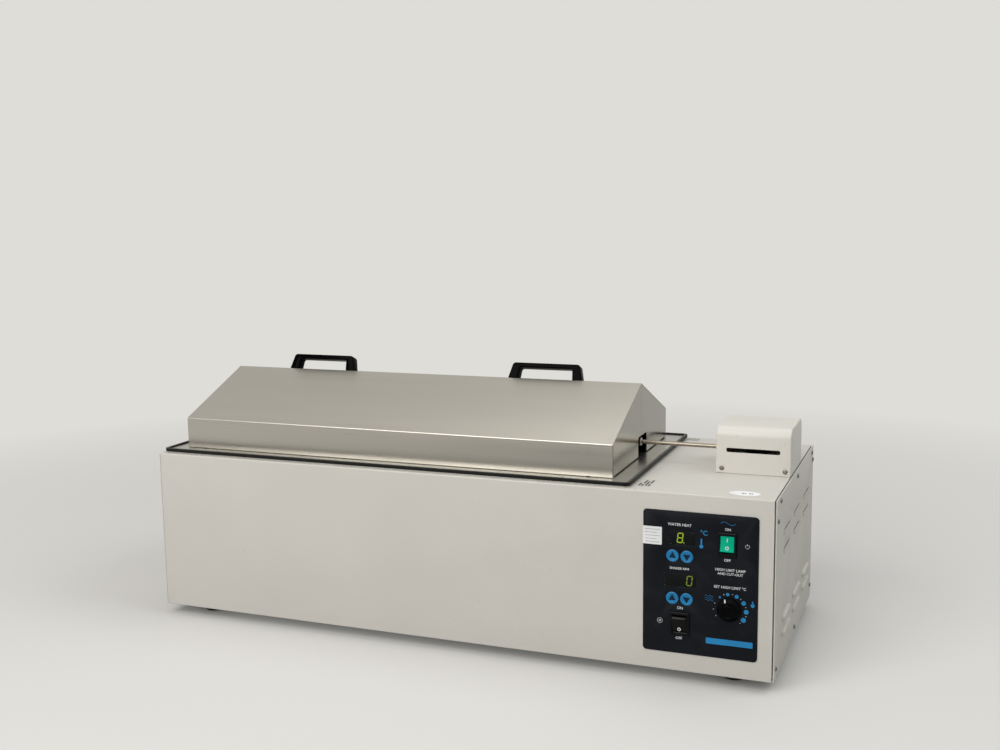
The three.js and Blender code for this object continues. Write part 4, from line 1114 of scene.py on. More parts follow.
class BATH_OT_tank(bpy.types.Operator):
    """Draws the tank with its coved floor and flange"""
    bl_idname = "bath.tank"
    bl_label = "Tank"

    LIP = 7 * MM
    DRAIN_HOLE = 5

    def execute(self, context):
        size = sizes()
        sheet = size.tank_sheet
        low, high = basin()
        low, high = low - Vector((sheet, sheet, sheet)), high + Vector((sheet, sheet, -sheet))
        pool = plate("tank_basin", low, high, Z, (size.tank_corner + sheet) / MM, 10)
        remove_faces(pool, lambda at, normal: normal.z > 0.9)
        round_edges(pool, (size.tank_cove + sheet) / MM, 5, lambda at, way: near(at.z, low.z))
        choose(pool, "EDGE", lambda at, way: near(at.z, high.z))
        bpy.ops.mesh.extrude_edges_move(TRANSFORM_OT_translate={"value": ORIGIN})
        spans, centre = high - low, (low + high) / 2
        bpy.ops.transform.resize(value=(1 + 2 * self.LIP / spans.x, 1 + 2 * self.LIP / spans.y, 1),
                                 center_override=(centre.x, centre.y, high.z))
        object_mode()
        outwards(pool)
        thicken(pool, sheet)
        inset = flat(TRIM_WALL + SEAT_GAP)
        first, last = (corner + way * inset for corner, way in zip(trim_box(), (1, -1)))
        corner = size.trim_corner - inset.x
        last.z = high.z + sheet
        flange = plate("tank_flange", (first.x, first.y, high.z), last, Z, corner / MM)
        first.z = deck_top() + 0.1 * MM
        rim = ring("tank_rim", first, last - Vector((0, 0, sheet / 2)), sheet, corner)
        grow = flat(self.LIP - 0.4 * MM)
        cut(flange, plate("hole", low - grow, high + grow + Vector((0, 0, 2 * OVERRUN)), Z,
                          (size.tank_corner + self.LIP) / MM))
        cut(pool, drill(box("drain_pipe")[MIDDLE], Y, high.y - 3 * OVERRUN, high.y + OVERRUN,
                        self.DRAIN_HOLE))
        pool = joined("tank_basin", pool, fuse(flange, rim))
        dress(smooth(pool), "tank", "tank_stainless", "tank")
        refinish("foil", "tank_heater")
        return {"FINISHED"}


class BATH_OT_trim(bpy.types.Operator):
    """Lays the rubber trim round the tank's flange, with a pale strip along it that paints the highlight of
    its rounded top
    """
    bl_idname = "bath.trim"
    bl_label = "Tank trim"

    LINE_FROM_EDGE, LINE_WIDTH, LINE_PROUD = 1.7 * MM, 1.3 * MM, 0.1 * MM

    def execute(self, context):
        size = sizes()
        low, high = trim_box()
        trim = ring("edge_trim", low, high, size.trim_band, size.trim_corner)
        slot_low, slot_high = low + flat(TRIM_WALL), high - flat(TRIM_WALL)
        slot_low.z, slot_high.z = low.z - OVERRUN, flange_top() + SEAT_GAP / 2
        cut(trim, plate("slot", slot_low, slot_high, Z, (size.trim_corner - TRIM_WALL) / MM))
        soften(trim, 0.6, 3, 60)
        dress(smooth(trim), "trim", "trim_rubber", "tank_edge_trim")
        # a pale strip along the trim's top, a painted highlight standing in for its rounded bead
        inset = flat(self.LINE_FROM_EDGE)
        line_low, line_high = low + inset, high - inset
        line_low.z, line_high.z = high.z - MM, high.z + self.LINE_PROUD
        line = ring("trim_line", line_low, line_high, self.LINE_WIDTH, size.trim_corner - inset.x)
        soften(line, 0.1, 2, 60)
        dress(smooth(line), "trim_line", "trim_rubber")
        return {"FINISHED"}


class BATH_OT_lid(bpy.types.Operator):
    """Folds the gabled lid and closes its two ends"""
    bl_idname = "bath.lid"
    bl_label = "Lid"

    END_SET, END_GAP, END_CLEAR = 0.1 * MM, 0.4 * MM, 1.6 * MM
    FRONT_GAP, SLOPE_GAP = 3.0 * MM, 0.05 * MM
    SEAM, SEAM_BELOW_RIDGE = 0.6 * MM, 6 * MM
    NOTCH_WIDTH, NOTCH_TALL, NOTCH_MIDDLE, NOTCH_CORNER = 48 * MM, 30.3 * MM, 7.5 * MM, 4

    def gable(self, name, low, high, rise):
        """A block whose top is raised to a ridge along x."""
        piece = block(name, low, high)
        ridge = (low.y + high.y) / 2
        split(piece, (0, ridge, 0), BACKWARDS)
        choose(piece, "EDGE", lambda at, way: way == X and near(at.y, ridge) and near(at.z, high.z))
        bpy.ops.transform.translate(value=(0, 0, rise))
        object_mode()
        return piece

    def shell(self):
        size = sizes()
        low, high, ridge = lid_box()
        shoulder, _ = gable_form()
        shell = self.gable("lid_sheet", low, Vector((high.x, high.y, shoulder)), LID_RISE)
        remove_faces(shell, lambda at, normal: abs(normal.x) > 0.9 or normal.z < -0.9)
        for side in (-1, 1):
            draw_out(shell, lambda at, way: way == X and near(at.z, low.z) and (at.y - ridge) * side > 0,
                     (0, -side * size.lid_hem, 0))
        outwards(shell)
        round_edges(shell, size.lid_bend / MM, 6, lambda at, way: way == X and (
            near(at.z, high.z) or near(at.y, low.y) or near(at.y, high.y)))
        thicken(shell, size.lid_sheet)
        soften(shell, 0.15, 1, 60)
        dress(smooth(shell), "lid", "lid_stainless", "lid_shell", body="lid")

    def end(self, name):
        side, sheet = SIDES[name], sizes().lid_sheet
        low, high, ridge = lid_box()
        shoulder, angle = gable_form()
        inset = sheet + self.END_GAP
        drop = (sheet + self.SLOPE_GAP) / math.cos(angle) - inset * math.tan(angle)
        outer = (high.x if side > 0 else low.x) - side * self.END_SET
        inner = outer - side * sheet
        first = Vector((min(inner, outer), low.y + inset, low.z + self.END_CLEAR))
        last = Vector((max(inner, outer), high.y - inset, shoulder - drop))
        panel = self.gable(f"lid_{name}_end", first, last, (last.y - first.y) / 2 * math.tan(angle))

        def gap(y_low, y_high, bottom, top):
            return block("gap", (first.x - OVERRUN, y_low, bottom), (last.x + OVERRUN, y_high, top))

        tools = [gap(low.y, low.y + sheet + self.FRONT_GAP, low.z - OVERRUN, shoulder - MM)]
        seam_from = low.z - OVERRUN
        if side > 0:
            centre, half = ridge + self.NOTCH_MIDDLE, self.NOTCH_WIDTH / 2
            notch = gap(centre - half, centre + half, low.z - OVERRUN, low.z + self.NOTCH_TALL)
            round_edges(notch, self.NOTCH_CORNER, 5, lambda at, way: way == X and at.z > low.z)
            seam_from = low.z + self.NOTCH_TALL - MM
            tools.append(notch)
        cut(panel, *tools)
        seam_to = high.z - self.SEAM_BELOW_RIDGE
        cut(panel, gap(ridge - self.SEAM / 2, ridge + self.SEAM / 2, seam_from, seam_to))
        soften(panel, 0.15, 1, 60)
        dress(smooth(panel), "lid_end", "lid_stainless", "lid_end_" + name, body="lid")

    def execute(self, context):
        self.shell()
        for name in SIDES:
            self.end(name)
        return {"FINISHED"}


class BATH_OT_lid_fittings(bpy.types.Operator):
    """Makes the bridge handles and the lid's rubber bumpers"""
    bl_idname = "bath.lid_fittings"
    bl_label = "Lid handles and bumpers"

    FOOT, CROWN, HEIGHT, DEPTH = 117 * MM, 105 * MM, 25 * MM, 16 * MM
    LEG_FOOT, LEG_CROWN, BAR = 15 * MM, 11 * MM, 7 * MM
    DOWN_SLOPE = 12 * MM
    BUMPER_INWARDS = {"left": 4.5 * MM, "right": -8.5 * MM}

    def tapered(self, foot, crown, depth, low, high):
        body = block("handle", (-foot / 2, -depth / 2, low), (foot / 2, depth / 2, high))
        choose(body, "FACE", lambda at, normal: normal.z > 0.9)
        bpy.ops.transform.resize(value=(crown / foot, 1, 1), center_override=(0, 0, high))
        object_mode()
        return body

    def handle(self):
        arch = self.tapered(self.FOOT, self.CROWN, self.DEPTH, 0, self.HEIGHT)
        under = self.HEIGHT - self.BAR
        cut(arch, self.tapered(self.FOOT - 2 * self.LEG_FOOT, self.CROWN - 2 * self.LEG_CROWN,
                               self.DEPTH + 2 * OVERRUN, -OVERRUN, under))
        round_edges(arch, 4, 5, lambda at, way: way == Y and at.z > self.HEIGHT - 0.5 * MM)
        round_edges(arch, 3, 4, lambda at, way: way == Y and abs(at.z - under) < 0.2 * MM)
        return soften(arch, 1.5, 3, 40)

    def execute(self, context):
        _, high, centre = box("lid_shell")
        _, angle = gable_form()
        seat = turn(-angle, "X") @ Vector((0, self.DOWN_SLOPE, SEAT_GAP))
        handle = turned_about(self.handle(), "X", -angle)
        for end in SIDES:
            node = "lid_handle_" + end
            place = Vector((box(node)[MIDDLE].x, centre.y, high.z)) + seat
            grip = copied(handle, "bridge_handle_" + end, shift(place))
            dress(smooth(grip), "handle", "handle_plastic", node, body="lid")
        bpy.data.objects.remove(handle)
        foot = flange_top() + 0.1 * MM
        for depth, end in CORNERS:
            node = f"lid_bumper_{depth}_{end}"
            first, last, centre = box(node)
            radius, height = (last.x - first.x) / 2 / MM, (last.z - foot) / MM
            bumper = turned("rubber_" + node, (centre.x + self.BUMPER_INWARDS[end], centre.y, foot), UP, [
                (0, radius * 1.1), (0.25, radius * 1.25), (0.7, radius * 1.22), (1.1, radius * 0.8),
                (height, radius * 0.8)], 20)
            dress(smooth(bumper), "trim", "trim_rubber", node, body="lid")
        return {"FINISHED"}


class BATH_OT_housing(bpy.types.Operator):
    """Bends the drive housing, with its slot and the rod's hole"""
    bl_idname = "bath.housing"
    bl_label = "Drive housing"

    SLOT_LENGTH, SLOT_HEIGHT, SLOT_RISE, SLOT_CORNER = 73 * MM, 6 * MM, 32.7 * MM, 2.4
    ROD_HOLE, SIDE_BEND = 6, 2.2

    def execute(self, context):
        low, high = cover_box()
        cover = block("drive_cover", low, high)
        remove_faces(cover, lambda at, normal: normal.z < -0.9)
        round_edges(cover, sizes().housing_bend / MM, 10, lambda at, way: way == X and at.z > high.z - MM)
        round_edges(cover, self.SIDE_BEND, 4, lambda at, way: at.z > low.z + MM
                    and (near(at.x, low.x) or near(at.x, high.x)))
        thicken(cover, sizes().sheet)
        centre = Vector(((low.x + high.x) / 2, low.y, deck_top() + self.SLOT_RISE))
        reach = Vector((self.SLOT_LENGTH / 2, 0, self.SLOT_HEIGHT / 2))
        slot = plate("slot", centre - reach - Vector((0, OVERRUN, 0)),
                     centre + reach + Vector((0, 2 * OVERRUN, 0)), Y, self.SLOT_CORNER, 5)
        rod = box("drive_rod")[MIDDLE]
        cut(cover, slot, drill(rod, X, low.x - OVERRUN, low.x + 2 * OVERRUN, self.ROD_HOLE))
        soften(cover, 0.25, 1, 50)
        # the housing wears the lighter copy of the paint, painted light
        dress(smooth(cover), "lit_cover_paint", "paint", "drive_housing")
        return {"FINISHED"}


class BATH_OT_screws(bpy.types.Operator):
    """Makes one cross-recess pan head screw and sets a copy at every place"""
    bl_idname = "bath.screws"
    bl_label = "Screws"

    STUB, TOP = 1.4, 2.15
    SLOT_WIDTH, SLOT_DEPTH, SLOT_TURN = 0.95 * MM, 1.1 * MM, 0.35
    SIDE_SPOTS = ((29.3, 232.8), (187, 230.3), (345.2, 231.5), (9.5, 210.5), (357.5, 218.5), (12, 15.4),
                  (183, 12.5), (354, 21))
    COVER_SPOTS = (("left", LOW, 8.5), ("right", HIGH, -7.5))
    COVER_UP = 7.2 * MM
    INLET_SPOTS = (("left", LOW, 3.1), ("right", HIGH, -3.1))
    PAN_SPOTS = [(across, back) for back in (0.06, 0.94) for across in (0.1, 0.5, 0.9)]
    FOOT_UP = 3 * MM

    def screw(self):
        head, top = sizes().screw_head / MM, self.TOP * MM
        screw = turned("screw", ORIGIN, UP, [
            (-self.STUB, head * 0.5), (0, head * 0.5), (0, head * 0.94), (0.25, head), (0.9, head),
            (1.5, head * 0.86), (1.95, head * 0.6), (self.TOP, head * 0.3)], 20)
        reach, half = head * 0.62 * MM, self.SLOT_WIDTH / 2
        for angle in (self.SLOT_TURN, self.SLOT_TURN + math.pi / 2):
            slot = block("slot", (-reach, -half, top - self.SLOT_DEPTH), (reach, half, top + MM))
            cut(screw, turned_about(slot, "Z", angle))
        return screw

    def places(self):
        """Name, place and facing direction of every screw."""
        low, high, _ = box("casing_shell")
        for end in ("right", "left"):
            side = SIDES[end]
            x = (high if side > 0 else low).x + side * (SIDE_SEAM[side] + sizes().sheet)
            for number, (back, up) in enumerate(self.SIDE_SPOTS):
                place = (x, low.y + back * MM, low.z + up * MM)
                yield f"{end}_panel_screw_{number + 1}", place, (side, 0, 0)
        cover = cover_box()
        for name, end, inset in self.COVER_SPOTS:
            for wall, depth, way in (("front", LOW, FORWARDS), ("rear", HIGH, BACKWARDS)):
                place = (cover[end].x + inset * MM, cover[depth].y, deck_top() + self.COVER_UP)
                yield f"cover_screw_{wall}_{name}", place, way
        inlet = box("mains_inlet")
        for name, end, inset in self.INLET_SPOTS:
            place = (inlet[end].x + inset * MM, inlet[HIGH].y, inlet[MIDDLE].z)
            yield f"inlet_screw_{name}", place, BACKWARDS
        for number, (across, back) in enumerate(self.PAN_SPOTS):
            place = (low.x + across * (high.x - low.x), low.y + back * (high.y - low.y), low.z)
            yield f"pan_screw_{number + 1}", place, DOWN
        for depth, end in CORNERS:
            centre = box(f"foot_{depth}_{end}")[MIDDLE]
            yield f"foot_{depth}_{end}_screw", (centre.x, centre.y, self.FOOT_UP), DOWN

    def execute(self, context):
        pattern = self.screw()
        for name, place, direction in self.places():
            screw = copied(pattern, name, shift(place) @ facing(direction))
            dress(smooth(screw), "screw", "bright_steel")
        bpy.data.objects.remove(pattern)
        return {"FINISHED"}


class BATH_OT_tray(bpy.types.Operator):
    """Makes the perforated shaker tray with its axles, wheels and arm"""
    bl_idname = "bath.tray"
    bl_label = "Shaker tray"

    COLUMNS, ROWS = 10, 4
    PITCH = (56 * MM, 52 * MM)
    SHEET, ARM_SHEET = 1.5 * MM, 3 * MM
    HOLE, AXLE, AXLE_HOLE, ARM_BEND = 6, 3, 3.3, 6
    PROBES = (("temperature_probe", "probe_rod", "steel"), ("overtemp_bulb", "bulb_rod", "wound"))

    def plate_with_lips(self):
        low, high, centre = box("shaker_tray")
        tray = block("tray", (low.x, low.y, high.z - self.SHEET), high)
        remove_faces(tray, lambda at, normal: normal.z < 0.9)
        for side in (-1, 1):
            draw_out(tray, lambda at, way: way == X and (at.y - centre.y) * side > 0, (0, 0, low.z - high.z))
        outwards(tray)
        round_edges(tray, 3, 4, lambda at, way: way == X and near(at.z, high.z))
        thicken(tray, self.SHEET)
        holes = []
        for column in range(self.COLUMNS):
            for row in range(self.ROWS):
                x = centre.x + (column - (self.COLUMNS - 1) / 2) * self.PITCH[0]
                y = centre.y + (row - (self.ROWS - 1) / 2) * self.PITCH[1]
                holes.append(drill((x, y, 0), Z, high.z - 2 * OVERRUN, high.z + OVERRUN, self.HOLE, 24))
        cut(tray, *holes)
        for end in SIDES:
            axle = box("tray_axle_" + end)[MIDDLE]
            cut(tray, drill(axle, Y, low.y - OVERRUN, high.y + OVERRUN, self.AXLE_HOLE, 20))
        soften(tray, 0.25, 1, 50)
        dress(smooth(tray), "tray", "tank_stainless", "shaker_tray", body="shuttle")

    def axle(self, end):
        node = "tray_axle_" + end
        low, high, centre = box(node)
        axle = turned("axle_" + end, (centre.x, low.y, centre.z), BACKWARDS, both_ends(
            (high.y - low.y) / MM, (0, self.AXLE * 0.7), (0.7, self.AXLE)), 24)
        dress(smooth(axle), "steel", "bright_steel", node, body="shuttle")

    def wheel(self, depth, end):
        node = f"tray_wheel_{depth}_{end}"
        low, high, centre = box(node)
        radius = (high.z - low.z) / 2 / MM
        wheel = turned("roller_" + node, (centre.x, low.y, centre.z), BACKWARDS, both_ends(
            (high.y - low.y) / MM, (0, radius * 0.55), (0, radius * 0.62), (1.2, radius * 0.66),
            (1.2, radius * 0.82), (0, radius * 0.86), (0, radius - 0.7), (0.7, radius)), 36)
        cut(wheel, drill(centre, Y, low.y - OVERRUN, high.y + OVERRUN, self.AXLE_HOLE, 24))
        spot = turned("mark", (centre.x, low.y - 0.2 * MM, centre.z + radius * MM * 0.74), BACKWARDS,
                      [(0, 0.9), (1.4, 0.9)], 12)
        wheel = joined(wheel.name, wheel, spot)
        dress(smooth(wheel), "white", "white_plastic", node, body=f"wheel_{depth}_{end}")

    def arm(self):
        low, high, centre = box("tray_arm")
        arm = block("tray_drive_arm", low, high)
        remove_faces(arm, lambda at, normal: normal.x < 0.9 and normal.z > -0.9)
        outwards(arm)
        round_edges(arm, self.ARM_BEND, 6,
                    lambda at, way: way == Y and near(at.z, low.z) and near(at.x, high.x))
        thicken(arm, self.ARM_SHEET)
        round_edges(arm, 5, 5, lambda at, way: way == X and near(at.z, high.z))
        soften(arm, 0.3, 2, 50)
        dress(smooth(arm), "tray", "tank_stainless", "tray_arm", body="shuttle")
        for number, aside in enumerate((-10 * MM, 10 * MM)):
            place = (low.x + 9 * MM, centre.y + aside, low.z + self.ARM_SHEET)
            nut = turned(f"arm_nut_{number + 1}", place, UP,
                         [(0, 4.4), (0.5, 4.9), (3.0, 4.9), (3.5, 4.3)], 6)
            stud = turned("stud", place, UP, [(0, 2.2), (4.6, 2.2), (5.2, 1.6)], 16)
            dress(joined(nut.name, nut, stud), "steel", "bright_steel", body="shuttle")

    def probe(self, node, name, finish):
        low, high, centre = box(node)
        long = (high.x - low.x) / MM
        rod = turned(name, (low.x, centre.y, centre.z), RIGHTWARDS, [
            (0, 1.2), (0.8, 2.4), (2.2, 3), (long - 1, 3), (long, 2.4)], 24)
        collar = turned("collar", (high.x - 22 * MM + SEAT_GAP, centre.y, centre.z), RIGHTWARDS,
                        both_ends(6, (0, 6.2), (0.6, 7)), 6)
        dress(smooth(joined(name, rod, collar)), finish, "bright_steel", node)

    def execute(self, context):
        self.plate_with_lips()
        for end in SIDES:
            self.axle(end)
            for depth in ("front", "rear"):
                self.wheel(depth, end)
        self.arm()
        for entry in self.PROBES:
            self.probe(*entry)
        return {"FINISHED"}


class BATH_OT_drive(bpy.types.Operator):
    """Turns the drive rod and its coupling, and makes the yoke, the crank and the motor"""
    bl_idname = "bath.drive"
    bl_label = "Shaker drive"

    ROD, COUPLING, PIN, SHAFT = 3, 6, 4, 5
    THREAD_LENGTH, THREAD_PITCH, THREAD_ROOT = 15, 1.0, 0.84
    DISC, DISC_THICKNESS, DISC_UP = 21, 7, 6.7
    STROKE = 12.7 * MM
    GEAR_CASE = Vector((35 * MM, 31 * MM, 0))
    GEAR_CASE_TALL = 44 * MM
    CAN, CAN_GROOVE, RIBS, RIB_PITCH = 31, 29.4, 5, 9

    def rod(self):
        low, high, centre = box("drive_rod")
        length, tip = (high.x - low.x) / MM, self.ROD * 0.8
        start = length - self.THREAD_LENGTH
        rings = [(0, tip), (0.5, self.ROD), (start, self.ROD)]
        for count in range(int(self.THREAD_LENGTH / self.THREAD_PITCH) - 1):
            rings += [(start + (count + 0.5) * self.THREAD_PITCH, self.ROD * self.THREAD_ROOT),
                      (start + (count + 1.0) * self.THREAD_PITCH, self.ROD)]
        rod = turned("push_rod", (low.x, centre.y, centre.z), RIGHTWARDS, [*rings, (length, tip)], 24)
        # the rod gets the darkened steel, painted shade and reflection
        dress(smooth(rod, 25), "rod", "bright_steel", "drive_rod", body="shuttle")
        nut = turned("rod_nut", (high.x - 7 * MM, centre.y, centre.z), RIGHTWARDS,
                     both_ends(5, (0, 5.0), (0.5, 5.6)), 6)
        dress(nut, "steel", "bright_steel", body="shuttle")

    def coupling(self):
        low, high, centre = box("rod_coupling")
        length, wide, groove = (high.x - low.x) / MM, self.COUPLING, self.COUPLING - 0.7
        sleeve = turned("coupling_sleeve", (low.x, centre.y, centre.z), RIGHTWARDS, [
            (0, wide - 0.8), (0.8, wide), (length - 9, wide), (length - 8.4, groove), (length - 7.6, groove),
            (length - 7, wide), (length - 0.9, wide), (length, wide - 1), (length, self.ROD + 0.5),
            (length - 2.5, self.ROD + 0.4)], 36)
        dress(smooth(sleeve), "steel", "bright_steel", "rod_coupling", body="shuttle")

    def yoke(self):
        low, high, centre = box("drive_yoke")
        yoke = plate("slotted_yoke", low, high, Z, 4, 6)
        half, reach = (self.PIN + 3) * MM, self.STROKE + self.PIN * MM + SEAT_GAP
        cut(yoke, plate("slot", (centre.x - half, centre.y - reach, low.z - OVERRUN),
                        (centre.x + half, centre.y + reach, high.z + OVERRUN), Z, self.PIN + 2.8, 8))
        soften(yoke, 0.6, 2, 50)
        dress(smooth(yoke), "blackened", "cast_aluminium", "drive_yoke", body="shuttle")

    def crank(self):
        low, high, _ = box("crank")
        centre = box("gear_motor")[MIDDLE]
        bottom, base = low.z / MM, deck_top() / MM + self.DISC_UP
        top = base + self.DISC_THICKNESS
        face = turned("crank_disc", (centre.x, centre.y, 0), UP, [
            (bottom, self.SHAFT - 0.6), (bottom + 0.8, self.SHAFT), (base, self.SHAFT), (base, self.DISC - 1),
            (base + 1, self.DISC), (top - 1, self.DISC), (top, self.DISC - 1), (top, 7), (top - 1.2, 6.4),
            (top - 1.2, 2)], 48)
        pin_low = top - 0.3
        tall = high.z / MM - pin_low
        pin = turned("pin", (centre.x, centre.y - self.STROKE, pin_low * MM), UP, [
            (0, self.PIN + 1.6), (0.9, self.PIN + 1.6), (0.9, self.PIN), (tall - 0.6, self.PIN),
            (tall, self.PIN - 0.6)], 28)
        dress(smooth(joined("crank_disc", face, pin)), "blackened", "bright_steel", "crank", body="crank")

    def motor(self):
        low, high, centre = box("gear_motor")
        top = Vector((centre.x, centre.y, high.z))
        gearbox = plate("gear_case", top - self.GEAR_CASE - Vector((0, 0, self.GEAR_CASE_TALL)),
                        top + self.GEAR_CASE, Z, 6, 5)
        soften(gearbox, 1.2, 2, 50)
        cut(gearbox, drill(centre, Z, high.z - 26 * MM, high.z + OVERRUN, self.SHAFT + SEAT_GAP / MM))
        rings = [(0, 12), (0, 27), (3, self.CAN)]
        for rib in range(self.RIBS):
            up = 12 + rib * self.RIB_PITCH
            rings += [(up, self.CAN), (up + 0.8, self.CAN_GROOVE), (up + 2.2, self.CAN_GROOVE),
                      (up + 3, self.CAN)]
        tall = (high.z - self.GEAR_CASE_TALL - low.z) / MM
        rings += [(tall - 1, self.CAN), (tall, self.CAN - 1)]
        can = turned("motor_can", (centre.x, centre.y, low.z), UP, rings, 48)
        motor = joined("gear_motor_body", gearbox, can)
        dress(smooth(motor), "aluminium", "cast_aluminium", "gear_motor")
        refinish("zinc", "motor_bracket")

    def execute(self, context):
        self.rod()
        self.coupling()
        self.yoke()
        self.crank()
        self.motor()
        return {"FINISHED"}


class BATH_OT_overlay(bpy.types.Operator):
    """Makes the panel's printed overlay with its openings and the two display windows"""
    bl_idname = "bath.overlay"
    bl_label = "Panel overlay"

    GROWN = (Vector((0, 0, -1.8 * MM)), Vector((-0.6 * MM, 0, 1.8 * MM)))

    def execute(self, context):
        low, high = (corner + step for corner, step in zip(box("panel_overlay"), self.GROWN))
        sheet = plate("panel_film", low, high, Y, sizes().panel_corner / MM, 8)
        cut(sheet, *panel_openings((low.y - OVERRUN, high.y + OVERRUN), BEZEL_LIP))
        soften(sheet, 0.2, 2, 50)
        dress(smooth(sheet), "film", "overlay_film", "panel_overlay")
        for node in WINDOWS:
            pane = plate(node.replace("window", "pane"), *box(node)[:MIDDLE], Y, 0.8, 3)
            soften(pane, 0.2, 2, 50)
            dress(smooth(pane), "window", "display_window", node)
        return {"FINISHED"}


class BATH_OT_displays(bpy.types.Operator):
    """Sets seven-segment digits in the two windows"""
    bl_idname = "bath.displays"
    bl_label = "Display digits"

    HEIGHT, WIDTH, STROKE = 14 * MM, 8.2 * MM, 1.6 * MM
    SLANT = 0.10
    THICKNESS = 0.12 * MM
    # across and up in half widths and half heights, and whether the segment stands upright
    LAYOUT = {"a": (0, 1, False), "d": (0, -1, False), "g": (0, 0, False), "b": (1, 0.5, True),
              "f": (-1, 0.5, True), "c": (1, -0.5, True), "e": (-1, -0.5, True)}
    SHAPES = {"8": "abcdefg", "0": "abcdef", " ": ""}
    DIGITS = (
        ("temperature_window", (-3.2 * MM, 8.6 * MM), ("8.", " "), "digit"),
        ("speed_window", (-11.8 * MM, 0.3 * MM, 12.4 * MM), (" ", " ", "0"), "digit_dim"),
    )

    def segment(self, x, y, upright, long):
        piece = disc("segment", 6, self.STROKE / 2)
        for side in (-1, 1):
            choose(piece, "VERT", lambda at: at.y * side > self.STROKE * 0.1)
            bpy.ops.transform.translate(value=(0, side * (long / 2 - self.STROKE * 0.55), 0))
            object_mode()
        raised(piece, self.THICKNESS)
        lean = turn(-self.SLANT if upright else math.pi / 2, "Z")
        return placed(piece, shift((x + self.SLANT * y, y, 0)) @ lean)

    def digit(self, name, letter, place, finish):
        """Lit and unlit segments of one digit, standing on the window's face."""
        half_w, half_h = (self.WIDTH - self.STROKE) / 2, (self.HEIGHT - self.STROKE) / 2
        wide, tall = half_w * 2 - self.STROKE * 0.3, half_h - self.STROKE * 0.3
        parts = {"lit": [], "unlit": []}
        for key, (x, y, upright) in self.LAYOUT.items():
            parts["lit" if key in self.SHAPES[letter[0]] else "unlit"].append(
                self.segment(x * half_w, y * half_h, upright, tall if upright else wide))
        if letter.endswith("."):
            dot = self.STROKE / 2 / MM
            parts["lit"].append(turned("point", (half_w + self.STROKE * 0.9, -half_h, 0), UP,
                                       [(0, dot), (self.THICKNESS / MM, dot)], 12))
        for state, members in parts.items():
            if members:
                piece = placed(joined(f"{name}_{state}", *members), shift(place) @ turn(math.pi / 2, "X"))
                dress(piece, finish if state == "lit" else "digit_off", "display_window")

    def execute(self, context):
        for node, places, letters, finish in self.DIGITS:
            low, _, centre = box(node)
            for number, (across, letter) in enumerate(zip(places, letters)):
                place = (centre.x + across, low.y, centre.z)
                self.digit(f"{node.replace('window', 'digit')}_{number + 1}", letter, place, finish)
        return {"FINISHED"}


class BATH_OT_keys(bpy.types.Operator):
    """Makes the four round keys with their arrow marks"""
    bl_idname = "bath.keys"
    bl_label = "Keys"

    RADIUS = 8.2
    ARROW, ARROW_TALL, ARROW_PROUD = 5.5 * MM, 0.25 * MM, 0.28 * MM

    def execute(self, context):
        for node in KEYS:
            low, high, centre = box(node)
            depth = (high.y - low.y) / MM
            cap = turned("cap_" + node, (centre.x, high.y, centre.z), FORWARDS, [
                (0, self.RADIUS * 0.9), (0.4, self.RADIUS), (depth - 0.5, self.RADIUS),
                (depth - 0.15, self.RADIUS - 0.35), (depth, self.RADIUS - 0.9), (depth, self.RADIUS * 0.8),
                (depth - 0.25, self.RADIUS * 0.74)], 48)
            dress(smooth(cap), "blue_key", "blue_key", node, body=node)
            arrow = raised(disc("arrow_" + node, 3, self.ARROW), self.ARROW_TALL)
            round_edges(arrow, 0.7, 3, lambda at, way: way == Z)
            placed(arrow, shift((centre.x, low.y + self.ARROW_PROUD, centre.z)) @ turn(math.pi / 2, "X")
                   @ turn(0 if "up" in node else math.pi, "Z"))
            dress(arrow, "arrow", "blue_key", body=node)
        return {"FINISHED"}


